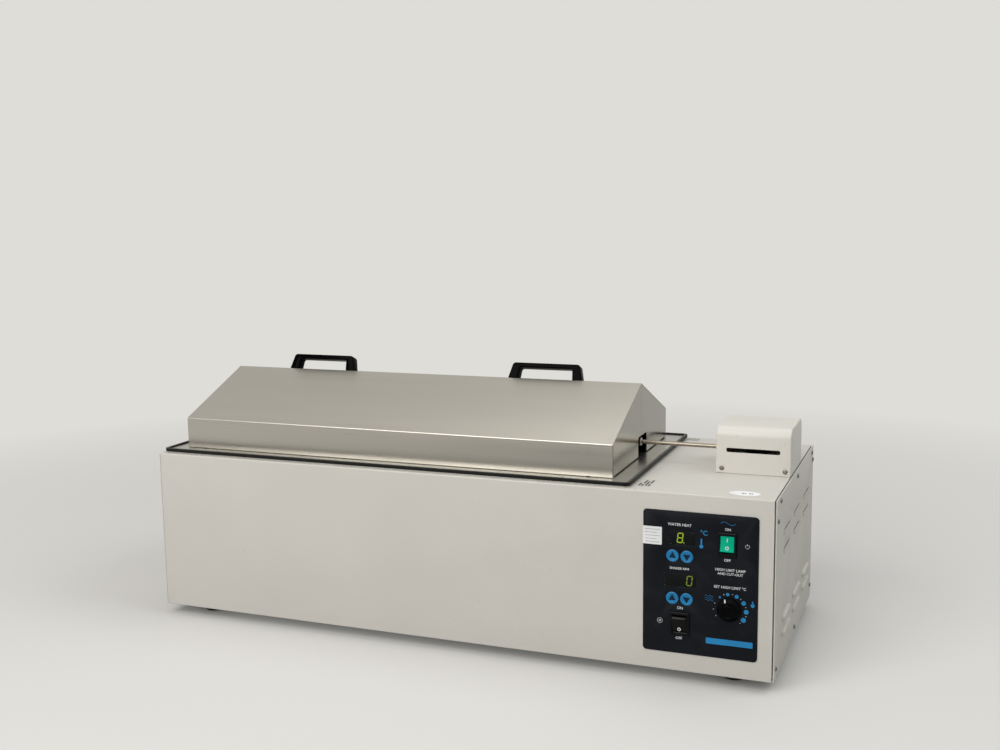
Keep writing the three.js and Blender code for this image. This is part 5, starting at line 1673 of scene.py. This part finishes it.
class BATH_OT_rockers(bpy.types.Operator):
    """Makes the bezels and rockers of the two switches"""
    bl_idname = "bath.rockers"
    bl_label = "Rocker switches"

    TILT = math.radians(12)
    PIVOT, FACE, BELLY = 2 * MM, 1.2 * MM, 8 * MM
    LENGTHS = {"power": 20 * MM, "motor": 22.4 * MM}
    WIDTHS = {"power": 17.4 * MM, "motor": 19 * MM}
    FRAME_BELOW = {"power": 2.6 * MM, "motor": 0.8 * MM}
    FRAME_ABOVE = {"power": 0.8 * MM, "motor": 2.7 * MM}
    END_ROUND = {"power": 0.9, "motor": 5.4}
    LEANS = {"power": -1, "motor": 1}
    MARKS = {"power": (("I", 1), ("O", -1)), "motor": (("O", -1),)}
    MARK_TALL, MARK_WIDE, MARK_DEEP = 4.6, 1.2, 0.6
    BEZEL_PROUD = 2 * MM

    def body(self, name):
        low, high, centre = box(name + "_switch_body")
        seat = low.y + self.BEZEL_PROUD
        bezel = plate(name + "_bezel", low - Vector((0, 0, self.FRAME_BELOW[name])),
                      (high.x, seat, high.z + self.FRAME_ABOVE[name]), Y, 1.6, 4)
        round_edges(bezel, 0.8, 3, lambda at, way: near(at.y, low.y))
        first, last = low + BEZEL_LIP, high - BEZEL_LIP
        first.y = seat - 0.6 * MM
        fuse(bezel, block("box", first, last))
        half_width, half = self.WIDTHS[name] / 2 + SEAT_GAP, self.LENGTHS[name] / 2
        half_height = math.hypot(half, self.PIVOT + self.FACE + math.tan(self.TILT) * half) + SEAT_GAP
        floor = seat + self.PIVOT + self.BELLY + SEAT_GAP
        cut(bezel, block("cavity", (centre.x - half_width, low.y - OVERRUN, centre.z - half_height),
                         (centre.x + half_width, floor, centre.z + half_height)))
        soften(bezel, 0.2, 1, 60)
        dress(smooth(bezel), "switch", "black_plastic", name + "_switch_body")
        return seat, centre

    def rocker(self, name, seat, centre):
        """Two faces in a shallow vee and a round belly, tilted to the resting side."""
        half, wide = self.LENGTHS[name] / 2, self.WIDTHS[name] / 2
        tip = self.FACE + math.tan(self.TILT) * half
        front = -self.PIVOT
        rocker = block(name + "_rocker_cap", (-wide, front - tip, -half), (wide, 0, half))
        split(rocker, ORIGIN, UP)
        choose(rocker, "EDGE", lambda at, way: way == X and at.y < front - 0.5 * tip and near(at.z, 0))
        bpy.ops.transform.translate(value=(0, tip - self.FACE, 0))
        object_mode()
        round_edges(rocker, self.END_ROUND[name], 4, lambda at, way: way == X and at.y < front - 0.5 * tip
                    and abs(at.z) > half * 0.9)
        round_edges(rocker, 0.5, 2,
                    lambda at, way: way != Y and near(abs(at.x), wide) and at.y < front - 0.3 * MM)
        belly = drill(ORIGIN, X, 0.01 * MM - wide, wide - 0.01 * MM, self.BELLY / MM)
        fuse(rocker, sliced(belly, (0, -MM, 0), FORWARDS, fill=True))
        stand = shift((centre.x, seat + self.PIVOT, centre.z)) @ turn(self.LEANS[name] * self.TILT, "X")
        finish, slot = ("green", "green_lit_rocker") if name == "power" else ("switch", "black_plastic")
        body = name + "_rocker"
        marks = [self.mark(name, letter, up * half / 2) for letter, up in self.MARKS[name]]
        dress(smooth(placed(rocker, stand)), finish, slot, body, body=body)
        for mark in marks:
            dress(placed(mark, stand), "print_white", slot, body=body)

    def mark(self, name, letter, up):
        """I or O, laid on its half of the rocker's vee."""
        depth = -self.PIVOT - self.FACE - math.tan(self.TILT) * abs(up)
        tall, deep = self.MARK_TALL / 2, self.MARK_DEEP / 2
        if letter == "I":
            corner = Vector((self.MARK_WIDE / 2, deep, tall)) * MM
            mark = plate(name + "_mark_on", -corner, corner, Y, 0.4, 3)
        else:
            mark = turned(name + "_mark_off", (0, deep * MM, 0), FORWARDS, [(0, tall), (2 * deep, tall)], 32)
            cut(mark, drill(ORIGIN, Y, -MM, MM, tall - 0.95, 32))
        return placed(mark, shift((0, depth, up)) @ turn(self.TILT if up > 0 else -self.TILT, "X"))

    def execute(self, context):
        for name in SWITCHES:
            self.rocker(name, *self.body(name))
        return {"FINISHED"}


class BATH_OT_knob(bpy.types.Operator):
    """Makes the fluted over-temperature knob with its pointer"""
    bl_idname = "bath.knob"
    bl_label = "Over-temperature knob"

    REST_TURN = math.radians(20)
    EDGE, NECK, FLUTES, GRIP = 2.6, 7.2, 24, 0.7
    POINTER_HALF, POINTER_DEEP, POINTER_PROUD = 0.9 * MM, 0.3 * MM, 0.2 * MM

    def execute(self, context):
        low, high, centre = box("overtemp_knob")
        skirt = (high.z - low.z) / 2 / MM
        grip = skirt * self.GRIP
        seat = panel_face() - SEAT_GAP
        height = (seat - low.y) / MM - 0.6
        knob = turned("limit_knob", (centre.x, seat, centre.z), FORWARDS, [
            (0, skirt - 0.5), (0.5, skirt), (self.EDGE, skirt), (self.EDGE + 0.5, skirt - 0.5),
            (self.NECK, grip + 0.6), (self.NECK + 0.6, grip), (height - 1.4, grip - 0.3),
            (height - 0.4, grip - 0.9), (height, grip - 2), (height, grip - 4),
            (height - 0.5, grip - 4.6)], 72)
        flutes = []
        reach = (grip + 0.4) * MM
        first, last = seat - (self.NECK + 0.5) * MM, seat - height * MM - OVERRUN
        for number in range(self.FLUTES):
            angle = 2 * math.pi * number / self.FLUTES
            spot = centre + Vector((reach * math.cos(angle), 0, reach * math.sin(angle)))
            flutes.append(drill(spot, Y, first, last, 0.75, 10))
        cut(knob, *flutes)
        knob = joined("limit_knob", knob, drill(centre, Y, seat - MM, high.y, 3, 24))
        dress(smooth(knob), "knob", "black_plastic", "overtemp_knob", body="overtemp_knob")
        rise, run = self.NECK - self.EDGE - 0.5, skirt - grip - 1.1
        half = math.hypot(rise, run) / 2 * MM
        spot = Vector((centre.x, seat - (self.NECK + self.EDGE + 0.5) / 2 * MM,
                       centre.z + (skirt + grip) / 2 * MM))
        pointer = plate("knob_pointer", spot - Vector((self.POINTER_HALF, self.POINTER_DEEP, half)),
                        spot + Vector((self.POINTER_HALF, self.POINTER_PROUD, half)), Y, 0.4, 3)
        turned_about(pointer, "X", -math.atan2(rise, run), spot)
        turned_about(pointer, "Y", -self.REST_TURN, (centre.x, seat, centre.z))
        dress(pointer, "print_white", "black_plastic", body="overtemp_knob")
        return {"FINISHED"}


class BATH_OT_legends(bpy.types.Operator):
    """Prints plain words, symbols and dots on the panel, all of a general kind"""
    bl_idname = "bath.legends"
    bl_label = "Panel legends"

    # every place is in millimetres across and up from the panel's middle
    PROUD = 0.06
    EXTRUDED, BOLDER = 0.01, 0.012
    WORDS = (
        ("word_heat", "WATER HEAT", -27.0, 77.6, 3.6, "print_white"),
        ("word_degrees", "°C", 4.6, 69.6, 6.8, "print_blue"),
        ("word_rpm", "SHAKER RPM", -27.0, 19.2, 3.2, "print_white"),
        ("word_motor_on", "ON", -25.7, -33.8, 3.6, "print_white"),
        ("word_motor_off", "OFF", -26.9, -74.7, 3.6, "print_white"),
        ("word_power_on", "ON", 35.3, 76.6, 3.6, "print_white"),
        ("word_power_off", "OFF", 35.1, 36.2, 3.6, "print_white"),
        ("word_limit", "HIGH LIMIT LAMP", 39.0, 23.4, 3.6, "print_white"),
        ("word_lamp", "AND CUT-OUT", 39.0, 18.2, 3.4, "print_white"),
        ("word_set", "SET HIGH LIMIT °C", 38.9, 0.4, 3.8, "print_white"),
        ("motor_symbol_letter", "M", -52.4, -53.6, 2.9, "print_white"),
    )
    KNOB = (38.1, -28.9)
    DOTS = ((-12.0, 15.3, 1.4), (-1.9, 20.0, 2.2), (9.5, 18.3, 2.6), (18.6, 10.5, 2.9), (21.9, -0.8, 3.1),
            (18.5, -12.0, 3.3))
    TICK_RADIUS = 0.55
    TICKS = ((-18.4, 7.0), (-20.0, -1.2), (-17.0, -9.8), (-6.9, 19.4), (4.2, 20.6), (14.8, 15.4), (21.2, 5.2),
             (21.6, -6.8), (14.4, -16.4))
    SYMBOL_DOTS = (("thermometer_bulb", 1.4, 51.2, 2.5, "print_blue"),
                   ("drop_body", 68.0, -20.4, 2.6, "print_blue"),
                   ("limit_lamp_ring", 39.6, 10.2, 1.7, "recess"))
    SYMBOL_BARS = (("thermometer_stem", (1.4, 53), (1.4, 61), 2.0, "print_blue"),
                   ("drop_tip", (68.0, -18.5), (68.0, -15.2), 1.7, "print_blue"),
                   ("power_symbol_bar", (60.2, 57.0), (60.2, 59.8), 0.5, "print_white"))
    # name, centre, radius, half of the gap at the top in radians, steps and width
    RINGS = (("power_symbol_ring", 60.2, 56.4, 2.6, 0.6, 16, 0.5),
             ("motor_symbol_ring", -52.4, -53.6, 3.4, 0, 20, 0.45))
    # name, start, up, across, swing and count of waves
    WAVES = (("mains_symbol", 26.0, 84.4, 18.8, 2.2, 1), ("water_symbol_1", 6.9, -13.2, 10.6, 0.8, 2),
             ("water_symbol_2", 6.9, -16.0, 10.6, 0.8, 2), ("water_symbol_3", 6.9, -18.8, 10.6, 0.8, 2))
    WAVE_STEPS, WAVE_WIDTH = 8, 0.45
    STRIP = ((8.6, -77.3), (68.8, -69.5))
    LAMP = (39.6, 10.2)

    def spot(self, across, up):
        """A place on the overlay's face."""
        centre = box("panel_overlay")[MIDDLE]
        return Vector((centre.x + across * MM, panel_face(), centre.z + up * MM))

    def word(self, name, words, across, up, tall, finish):
        only()
        bpy.ops.object.text_add()
        text = bpy.context.object
        text.data.body = words
        text.data.align_x, text.data.align_y = "CENTER", "CENTER"
        text.data.extrude, text.data.offset = self.EXTRUDED, self.BOLDER
        text.data.resolution_u = 3
        bpy.ops.object.convert(target="MESH")
        piece = bpy.context.object
        piece.name = piece.data.name = name
        heights = [corner.co.y for corner in piece.data.vertices]
        low, high = min(heights), max(heights)
        ratio = tall * MM / (high - low)
        sized = Matrix.Diagonal((ratio, ratio, self.PROUD * MM / self.EXTRUDED, 1))
        stand = shift(self.spot(across, up)) @ turn(math.pi / 2, "X")
        placed(piece, stand @ sized @ shift((0, -(low + high) / 2, 0)))
        dress(piece, finish, "overlay_film")

    def dot(self, name, across, up, radius, finish, sides=24):
        place = self.spot(across, up) + Vector((0, self.PROUD * MM, 0))
        dot = turned(name, place, FORWARDS, [
            (0, radius), (self.PROUD * 1.6, radius), (self.PROUD * 2, radius * 0.93)], sides)
        dress(dot, finish, "overlay_film")

    def line(self, name, points, width, finish):
        """A printed line of even width through a row of places."""
        parts, width, proud = [], width * MM, self.PROUD * MM
        for start, end in zip(points, points[1:]):
            first, last = self.spot(*start), self.spot(*end)
            run = last - first
            stroke = block("stroke", first - Vector((width / 4, proud, width / 2)),
                           first + Vector((run.length + width / 4, proud, width / 2)))
            parts.append(turned_about(stroke, "Y", -math.atan2(run.z, run.x), first))
        dress(joined(name, *parts), finish, "overlay_film")

    def ring(self, name, across, up, radius, gap, steps, width):
        angles = (gap + (2 * math.pi - 2 * gap) * step / steps for step in range(steps + 1))
        points = [(across + radius * math.sin(angle), up + radius * math.cos(angle)) for angle in angles]
        self.line(name, points, width, "print_white")

    def wave(self, name, start, up, across, swing, waves):
        steps = self.WAVE_STEPS * waves
        points = [(start + across * step / steps, up + swing * math.sin(2 * math.pi * waves * step / steps))
                  for step in range(steps + 1)]
        self.line(name, points, self.WAVE_WIDTH, "print_blue")

    def execute(self, context):
        for entry in self.WORDS:
            self.word(*entry)
        x, z = self.KNOB
        for number, (across, up, radius) in enumerate(self.DOTS):
            self.dot(f"limit_dot_{number + 1}", x + across, z + up, radius, "print_blue")
        for number, (across, up) in enumerate(self.TICKS):
            self.dot(f"limit_tick_{number + 1}", x + across, z + up, self.TICK_RADIUS, "print_white", 12)
        for entry in self.SYMBOL_DOTS:
            self.dot(*entry)
        for name, start, end, width, finish in self.SYMBOL_BARS:
            self.line(name, (start, end), width, finish)
        for entry in self.RINGS:
            self.ring(*entry)
        for entry in self.WAVES:
            self.wave(*entry)
        lamp = turned("limit_lamp", self.spot(*self.LAMP), FORWARDS, [
            (-0.4, 1.2), (0.15, 1.2), (0.45, 0.8), (0.55, 0.3)], 20)
        dress(smooth(lamp), "window", "display_window")
        proud = Vector((0, self.PROUD * MM, 0))
        low, high = (self.spot(*corner) for corner in self.STRIP)
        dress(plate("blue_strip", low - proud, high + proud, Y, 0.6, 3), "print_blue", "overlay_film")
        return {"FINISHED"}


class BATH_OT_labels(bpy.types.Operator):
    """Sticks the blank paper and metal labels on"""
    bl_idname = "bath.labels"
    bl_label = "Blank labels"

    PAPER, INK = 0.12 * MM, 0.04 * MM
    # corners in millimetres from the panel's middle or from the casing's lowest corner
    PANEL = ((-75.8, 48.7), (-50.4, 72.6))
    NEAR, NEAR_SIZE, NEAR_MARK, NEAR_PITCH = (745, 22), (19, 42), (1.5, 4.1), 4.2
    NEAR_MARKS = ((0, 4, 19), (1, 3, 12), (1, 17, 36), (2, 6, 30), (3, 4, 15), (3, 20, 38))
    FAR = ((741, 343), (760, 359))
    OVAL, OVAL_RADIUS, OVAL_STRETCH = (887.5, 26.5), 5.6, (3.6, 2.1, 1, 1)
    OVAL_MARKS = ((884, 886.4), (887.4, 889), (893, 895.5), (896.4, 898))
    OVAL_MARK_DEPTHS = (24, 28)
    REAR, REAR_RULES = ((640, 60), (730, 110)), (647, 723)

    def execute(self, context):
        shell_low, shell_high = casing_box()
        top, rear = shell_high.z, shell_high.y

        def on_deck(name, first, last, height=self.PAPER):
            """The corners of a thin block on the deck."""
            return (name, (shell_low.x + first[0] * MM, shell_low.y + first[1] * MM, top),
                    (shell_low.x + last[0] * MM, shell_low.y + last[1] * MM, top + height))

        def on_rear(name, first, last, sunk, proud):
            return (name, (shell_low.x + first[0] * MM, rear + sunk * MM, shell_low.z + first[1] * MM),
                    (shell_low.x + last[0] * MM, rear + proud * MM, shell_low.z + last[1] * MM))

        middle, face = box("panel_overlay")[MIDDLE], panel_face()
        low, high = (Vector((middle.x + across * MM, face + side * self.PAPER, middle.z + up * MM))
                     for (across, up), side in zip(self.PANEL, (-1, 1)))
        dress(plate("panel_label", low, high, Y, 0.8, 3), "label", "overlay_film")
        rules = []
        for number in range(5):
            up = high.z - (4 + 4.2 * number) * MM
            rules.append(block("rule", (low.x + 3 * MM, low.y - self.INK, up),
                               (high.x - (3 + 4 * (number % 2)) * MM, low.y + self.INK, up + 0.45 * MM)))
        dress(joined("panel_label_rules", *rules), "label_line", "overlay_film")

        x, y = self.NEAR
        near_label = on_deck("deck_label_near", self.NEAR, (x + self.NEAR_SIZE[0], y + self.NEAR_SIZE[1]))
        dress(plate(*near_label, Z, 1, 3), "near_label", "paint")
        inked = self.PAPER + self.INK
        marks = []
        for number, start, end in self.NEAR_MARKS:
            left, right = (x + aside + self.NEAR_PITCH * number for aside in self.NEAR_MARK)
            marks.append(block(*on_deck("mark", (left, y + start), (right, y + end), inked)))
        dress(joined("deck_label_near_marks", *marks), "dark_print", "paint")
        dress(plate(*on_deck("deck_label_far", *self.FAR), Z, 1, 3), "grey_label", "paint")

        radius = self.OVAL_RADIUS
        oval = turned("deck_label_oval", (0, 0, top), UP, [(0, radius), (self.PAPER / MM, radius)])
        centre = (shell_low.x + self.OVAL[0] * MM, shell_low.y + self.OVAL[1] * MM, 0)
        placed(oval, shift(centre) @ Matrix.Diagonal(self.OVAL_STRETCH))
        # the oval label gets the lighter paper copy, painted light
        dress(oval, "bright_label", "paint")
        front, back = self.OVAL_MARK_DEPTHS
        dashes = [block(*on_deck("dash", (start, front), (end, back), inked))
                  for start, end in self.OVAL_MARKS]
        dress(joined("deck_label_oval_marks", *dashes), "dark_print", "paint")

        rating = plate(*on_rear("rear_plate", *self.REAR, 0, 0.5), Y, 3, 5)
        soften(rating, 0.15, 1, 50)
        dress(rating, "aluminium", "cast_aluminium")
        left, right = self.REAR_RULES
        rules = [block(*on_rear("rule", (left, up), (right, up + 0.5), 0.44, 0.56))
                 for up in range(68, 108, 8)]
        dress(joined("rear_plate_rules", *rules), "recess", "cast_aluminium")
        return {"FINISHED"}


class BATH_OT_services(bpy.types.Operator):
    """Makes the mains inlet and the drain cock on the rear"""
    bl_idname = "bath.services"
    bl_label = "Inlet and drain"

    PIN = (2 * MM, 4 * MM, 12 * MM)
    PIN_PLACES = ((-7 * MM, -2 * MM), (0, 2 * MM), (7 * MM, -2 * MM))
    WELL = Vector((12.5 * MM, 0, 8.5 * MM))
    WELL_DEEP, LIP = 17 * MM, Vector((6 * MM, 0, 6 * MM))
    PLUG, PLUG_HOLE, HANDLE = 7.5, 7.8, 4 * MM

    def inlet(self):
        low, high, centre = box("mains_inlet")
        flange = plate("inlet_socket_body", (low.x, high.y - 2.5 * MM, low.z), high, Y, 4, 6)
        round_edges(flange, 0.9, 3, lambda at, way: near(at.y, high.y))
        fuse(flange, plate("body", low + self.LIP, high - self.LIP - Vector((0, 1.2 * MM, 0)), Y, 2, 4))
        first, last = centre - self.WELL, centre + self.WELL
        first.y, last.y = high.y - self.WELL_DEEP, high.y + OVERRUN
        well = block("well", first, last)
        round_edges(well, 5, 1, lambda at, way: way == Y and at.z > centre.z)
        cut(flange, well)
        soften(flange, 0.3, 2, 50)
        dress(smooth(flange), "black", "black_plastic", "mains_inlet")
        width, tall, long = self.PIN
        for number, (aside, up) in enumerate(self.PIN_PLACES):
            x, z = centre.x + aside, centre.z + up
            pin = plate(f"inlet_pin_{number + 1}", (x - width / 2, high.y - 17.5 * MM, z - tall / 2),
                        (x + width / 2, high.y - self.WELL_DEEP + long, z + tall / 2), Y, 0.4, 2)
            soften(pin, 0.35, 2, 50)
            dress(smooth(pin), "steel", "bright_steel")

    def drain(self):
        low, high, centre = box("drain_pipe")
        pipe = turned("drain_tube", (centre.x, low.y, centre.z), BACKWARDS, [
            (0, 6.6), (0.4, 7), ((high.y - low.y) / MM, 7)], 32)
        nut = turned("nut", (centre.x, box("casing_shell")[HIGH].y + SEAT_GAP, centre.z), BACKWARDS,
                     both_ends(5.4, (0, 11), (0.8, 12.2)), 6)
        dress(smooth(joined("drain_tube", pipe, nut)), "brass", "brass", "drain_pipe")
        low, high, centre = box("drain_valve_body")
        long = (high.y - low.y) / MM
        body = turned("valve_body", (centre.x, low.y, centre.z), BACKWARDS, [
            (0, 10), (0.8, 11), (6, 11), (7, 9.4), (long - 9, 9.4), (long - 8, 8.6), (long - 7, 9.6),
            (long - 5.6, 8.2), (long - 4.2, 9.2), (long - 2.8, 7.8), (long - 1.4, 8.6), (long, 7.0),
            (long, 5), (long - 6, 4.8)], 36)
        fuse(body, turned("boss", (centre.x, centre.y, low.z), UP, both_ends(
            (high.z - low.z) / MM, (0, 9.4), (0.8, 10.4)), 36))
        cut(body, drill(centre, Z, low.z - OVERRUN, high.z + OVERRUN, self.PLUG_HOLE))
        dress(smooth(body), "brass", "brass", "drain_valve_body")
        bottom, (low, high, _) = low.z, box("drain_lever")
        tall, plug = (high.z - bottom) / MM, self.PLUG
        plug = turned("valve_lever", (centre.x, centre.y, bottom), UP, [
            (0, plug - 1), (0.6, plug), (tall - 4, plug), (tall - 0.8, plug), (tall, plug - 0.8)], 32)
        lever = plate("lever", (low.x, centre.y - 4.5 * MM, high.z - self.HANDLE),
                      (centre.x + 6 * MM, centre.y + 4.5 * MM, high.z), Z, 4, 6)
        round_edges(lever, 1.2, 3, lambda at, way: near(at.z, high.z))
        dress(smooth(fuse(plug, lever)), "brass", "brass", "drain_lever", body="drain_lever")

    def execute(self, context):
        self.inlet()
        self.drain()
        return {"FINISHED"}


class BATH_OT_electrics(bpy.types.Operator):
    """Makes the boards, the transformer and the thermostat behind the panel"""
    bl_idname = "bath.electrics"
    bl_label = "Electrics"

    CORE_IN, COIL_IN = Vector((0, 12 * MM, 0)), Vector((12 * MM, 0, 8 * MM))
    CAN, BORE = 19, 3.4

    def execute(self, context):
        low, high, _ = box("transformer")
        core = block("stacked_core", low + self.CORE_IN, high - self.CORE_IN)
        soften(core, 0.6, 2, 50)
        dress(smooth(core), "laminated", "transformer_core", "transformer")
        coil = block("core_winding", low + self.COIL_IN, high - self.COIL_IN)
        round_edges(coil, 6, 5, lambda at, way: way == Z)
        soften(coil, 1.0, 2, 50)
        dress(smooth(coil), "wound", "transformer_core")
        low, high, centre = box("thermostat_body")
        depth = (high.y - low.y) / MM
        can = turned("thermostat_can", (centre.x, low.y, centre.z), BACKWARDS, [
            (0, self.CAN - 1.4), (1.4, self.CAN), (depth - 4, self.CAN), (depth - 3, self.CAN - 1.4),
            (depth, self.CAN - 1.4)])
        cut(can, drill(centre, Y, low.y - OVERRUN, low.y + 16 * MM, self.BORE, 24))
        dress(smooth(can), "steel", "bright_steel", "thermostat_body")
        refinish("board", "display_board", "control_board")
        return {"FINISHED"}


OPERATORS = (
    BATH_OT_stage, BATH_OT_casing, BATH_OT_side_panels, BATH_OT_underside, BATH_OT_tank, BATH_OT_trim,
    BATH_OT_lid, BATH_OT_lid_fittings, BATH_OT_housing, BATH_OT_screws, BATH_OT_tray, BATH_OT_drive,
    BATH_OT_overlay, BATH_OT_displays, BATH_OT_keys, BATH_OT_rockers, BATH_OT_knob, BATH_OT_legends,
    BATH_OT_labels, BATH_OT_services, BATH_OT_electrics,
)


class BATH_PT_panel(bpy.types.Panel):
    """Lists the sizes, the colours and the pieces in the order in which they are made"""
    bl_idname = "BATH_PT_panel"
    bl_label = "Water Bath"
    bl_space_type = "VIEW_3D"
    bl_region_type = "UI"
    bl_category = "Water Bath"

    def draw(self, context):
        layout = self.layout
        for operator in OPERATORS:
            layout.operator(operator.bl_idname)
        for settings in (context.scene.bath_sizes, context.scene.bath_colours):
            column = layout.box().column()
            for name in type(settings).__annotations__:
                column.prop(settings, name)


CLASSES = (BathSizes, BathColours, *OPERATORS, BATH_PT_panel)


def register():
    for each in CLASSES:
        bpy.utils.register_class(each)
    bpy.types.Scene.bath_sizes = PointerProperty(type=BathSizes)
    bpy.types.Scene.bath_colours = PointerProperty(type=BathColours)


def unregister():
    del bpy.types.Scene.bath_colours
    del bpy.types.Scene.bath_sizes
    for each in reversed(CLASSES):
        bpy.utils.unregister_class(each)


def main():
    register()
    make_finishes()
    for operator in OPERATORS:
        group_name, name = operator.bl_idname.split(".")
        getattr(getattr(bpy.ops, group_name), name)()
    object_mode()


if __name__ == "__main__":
    main()
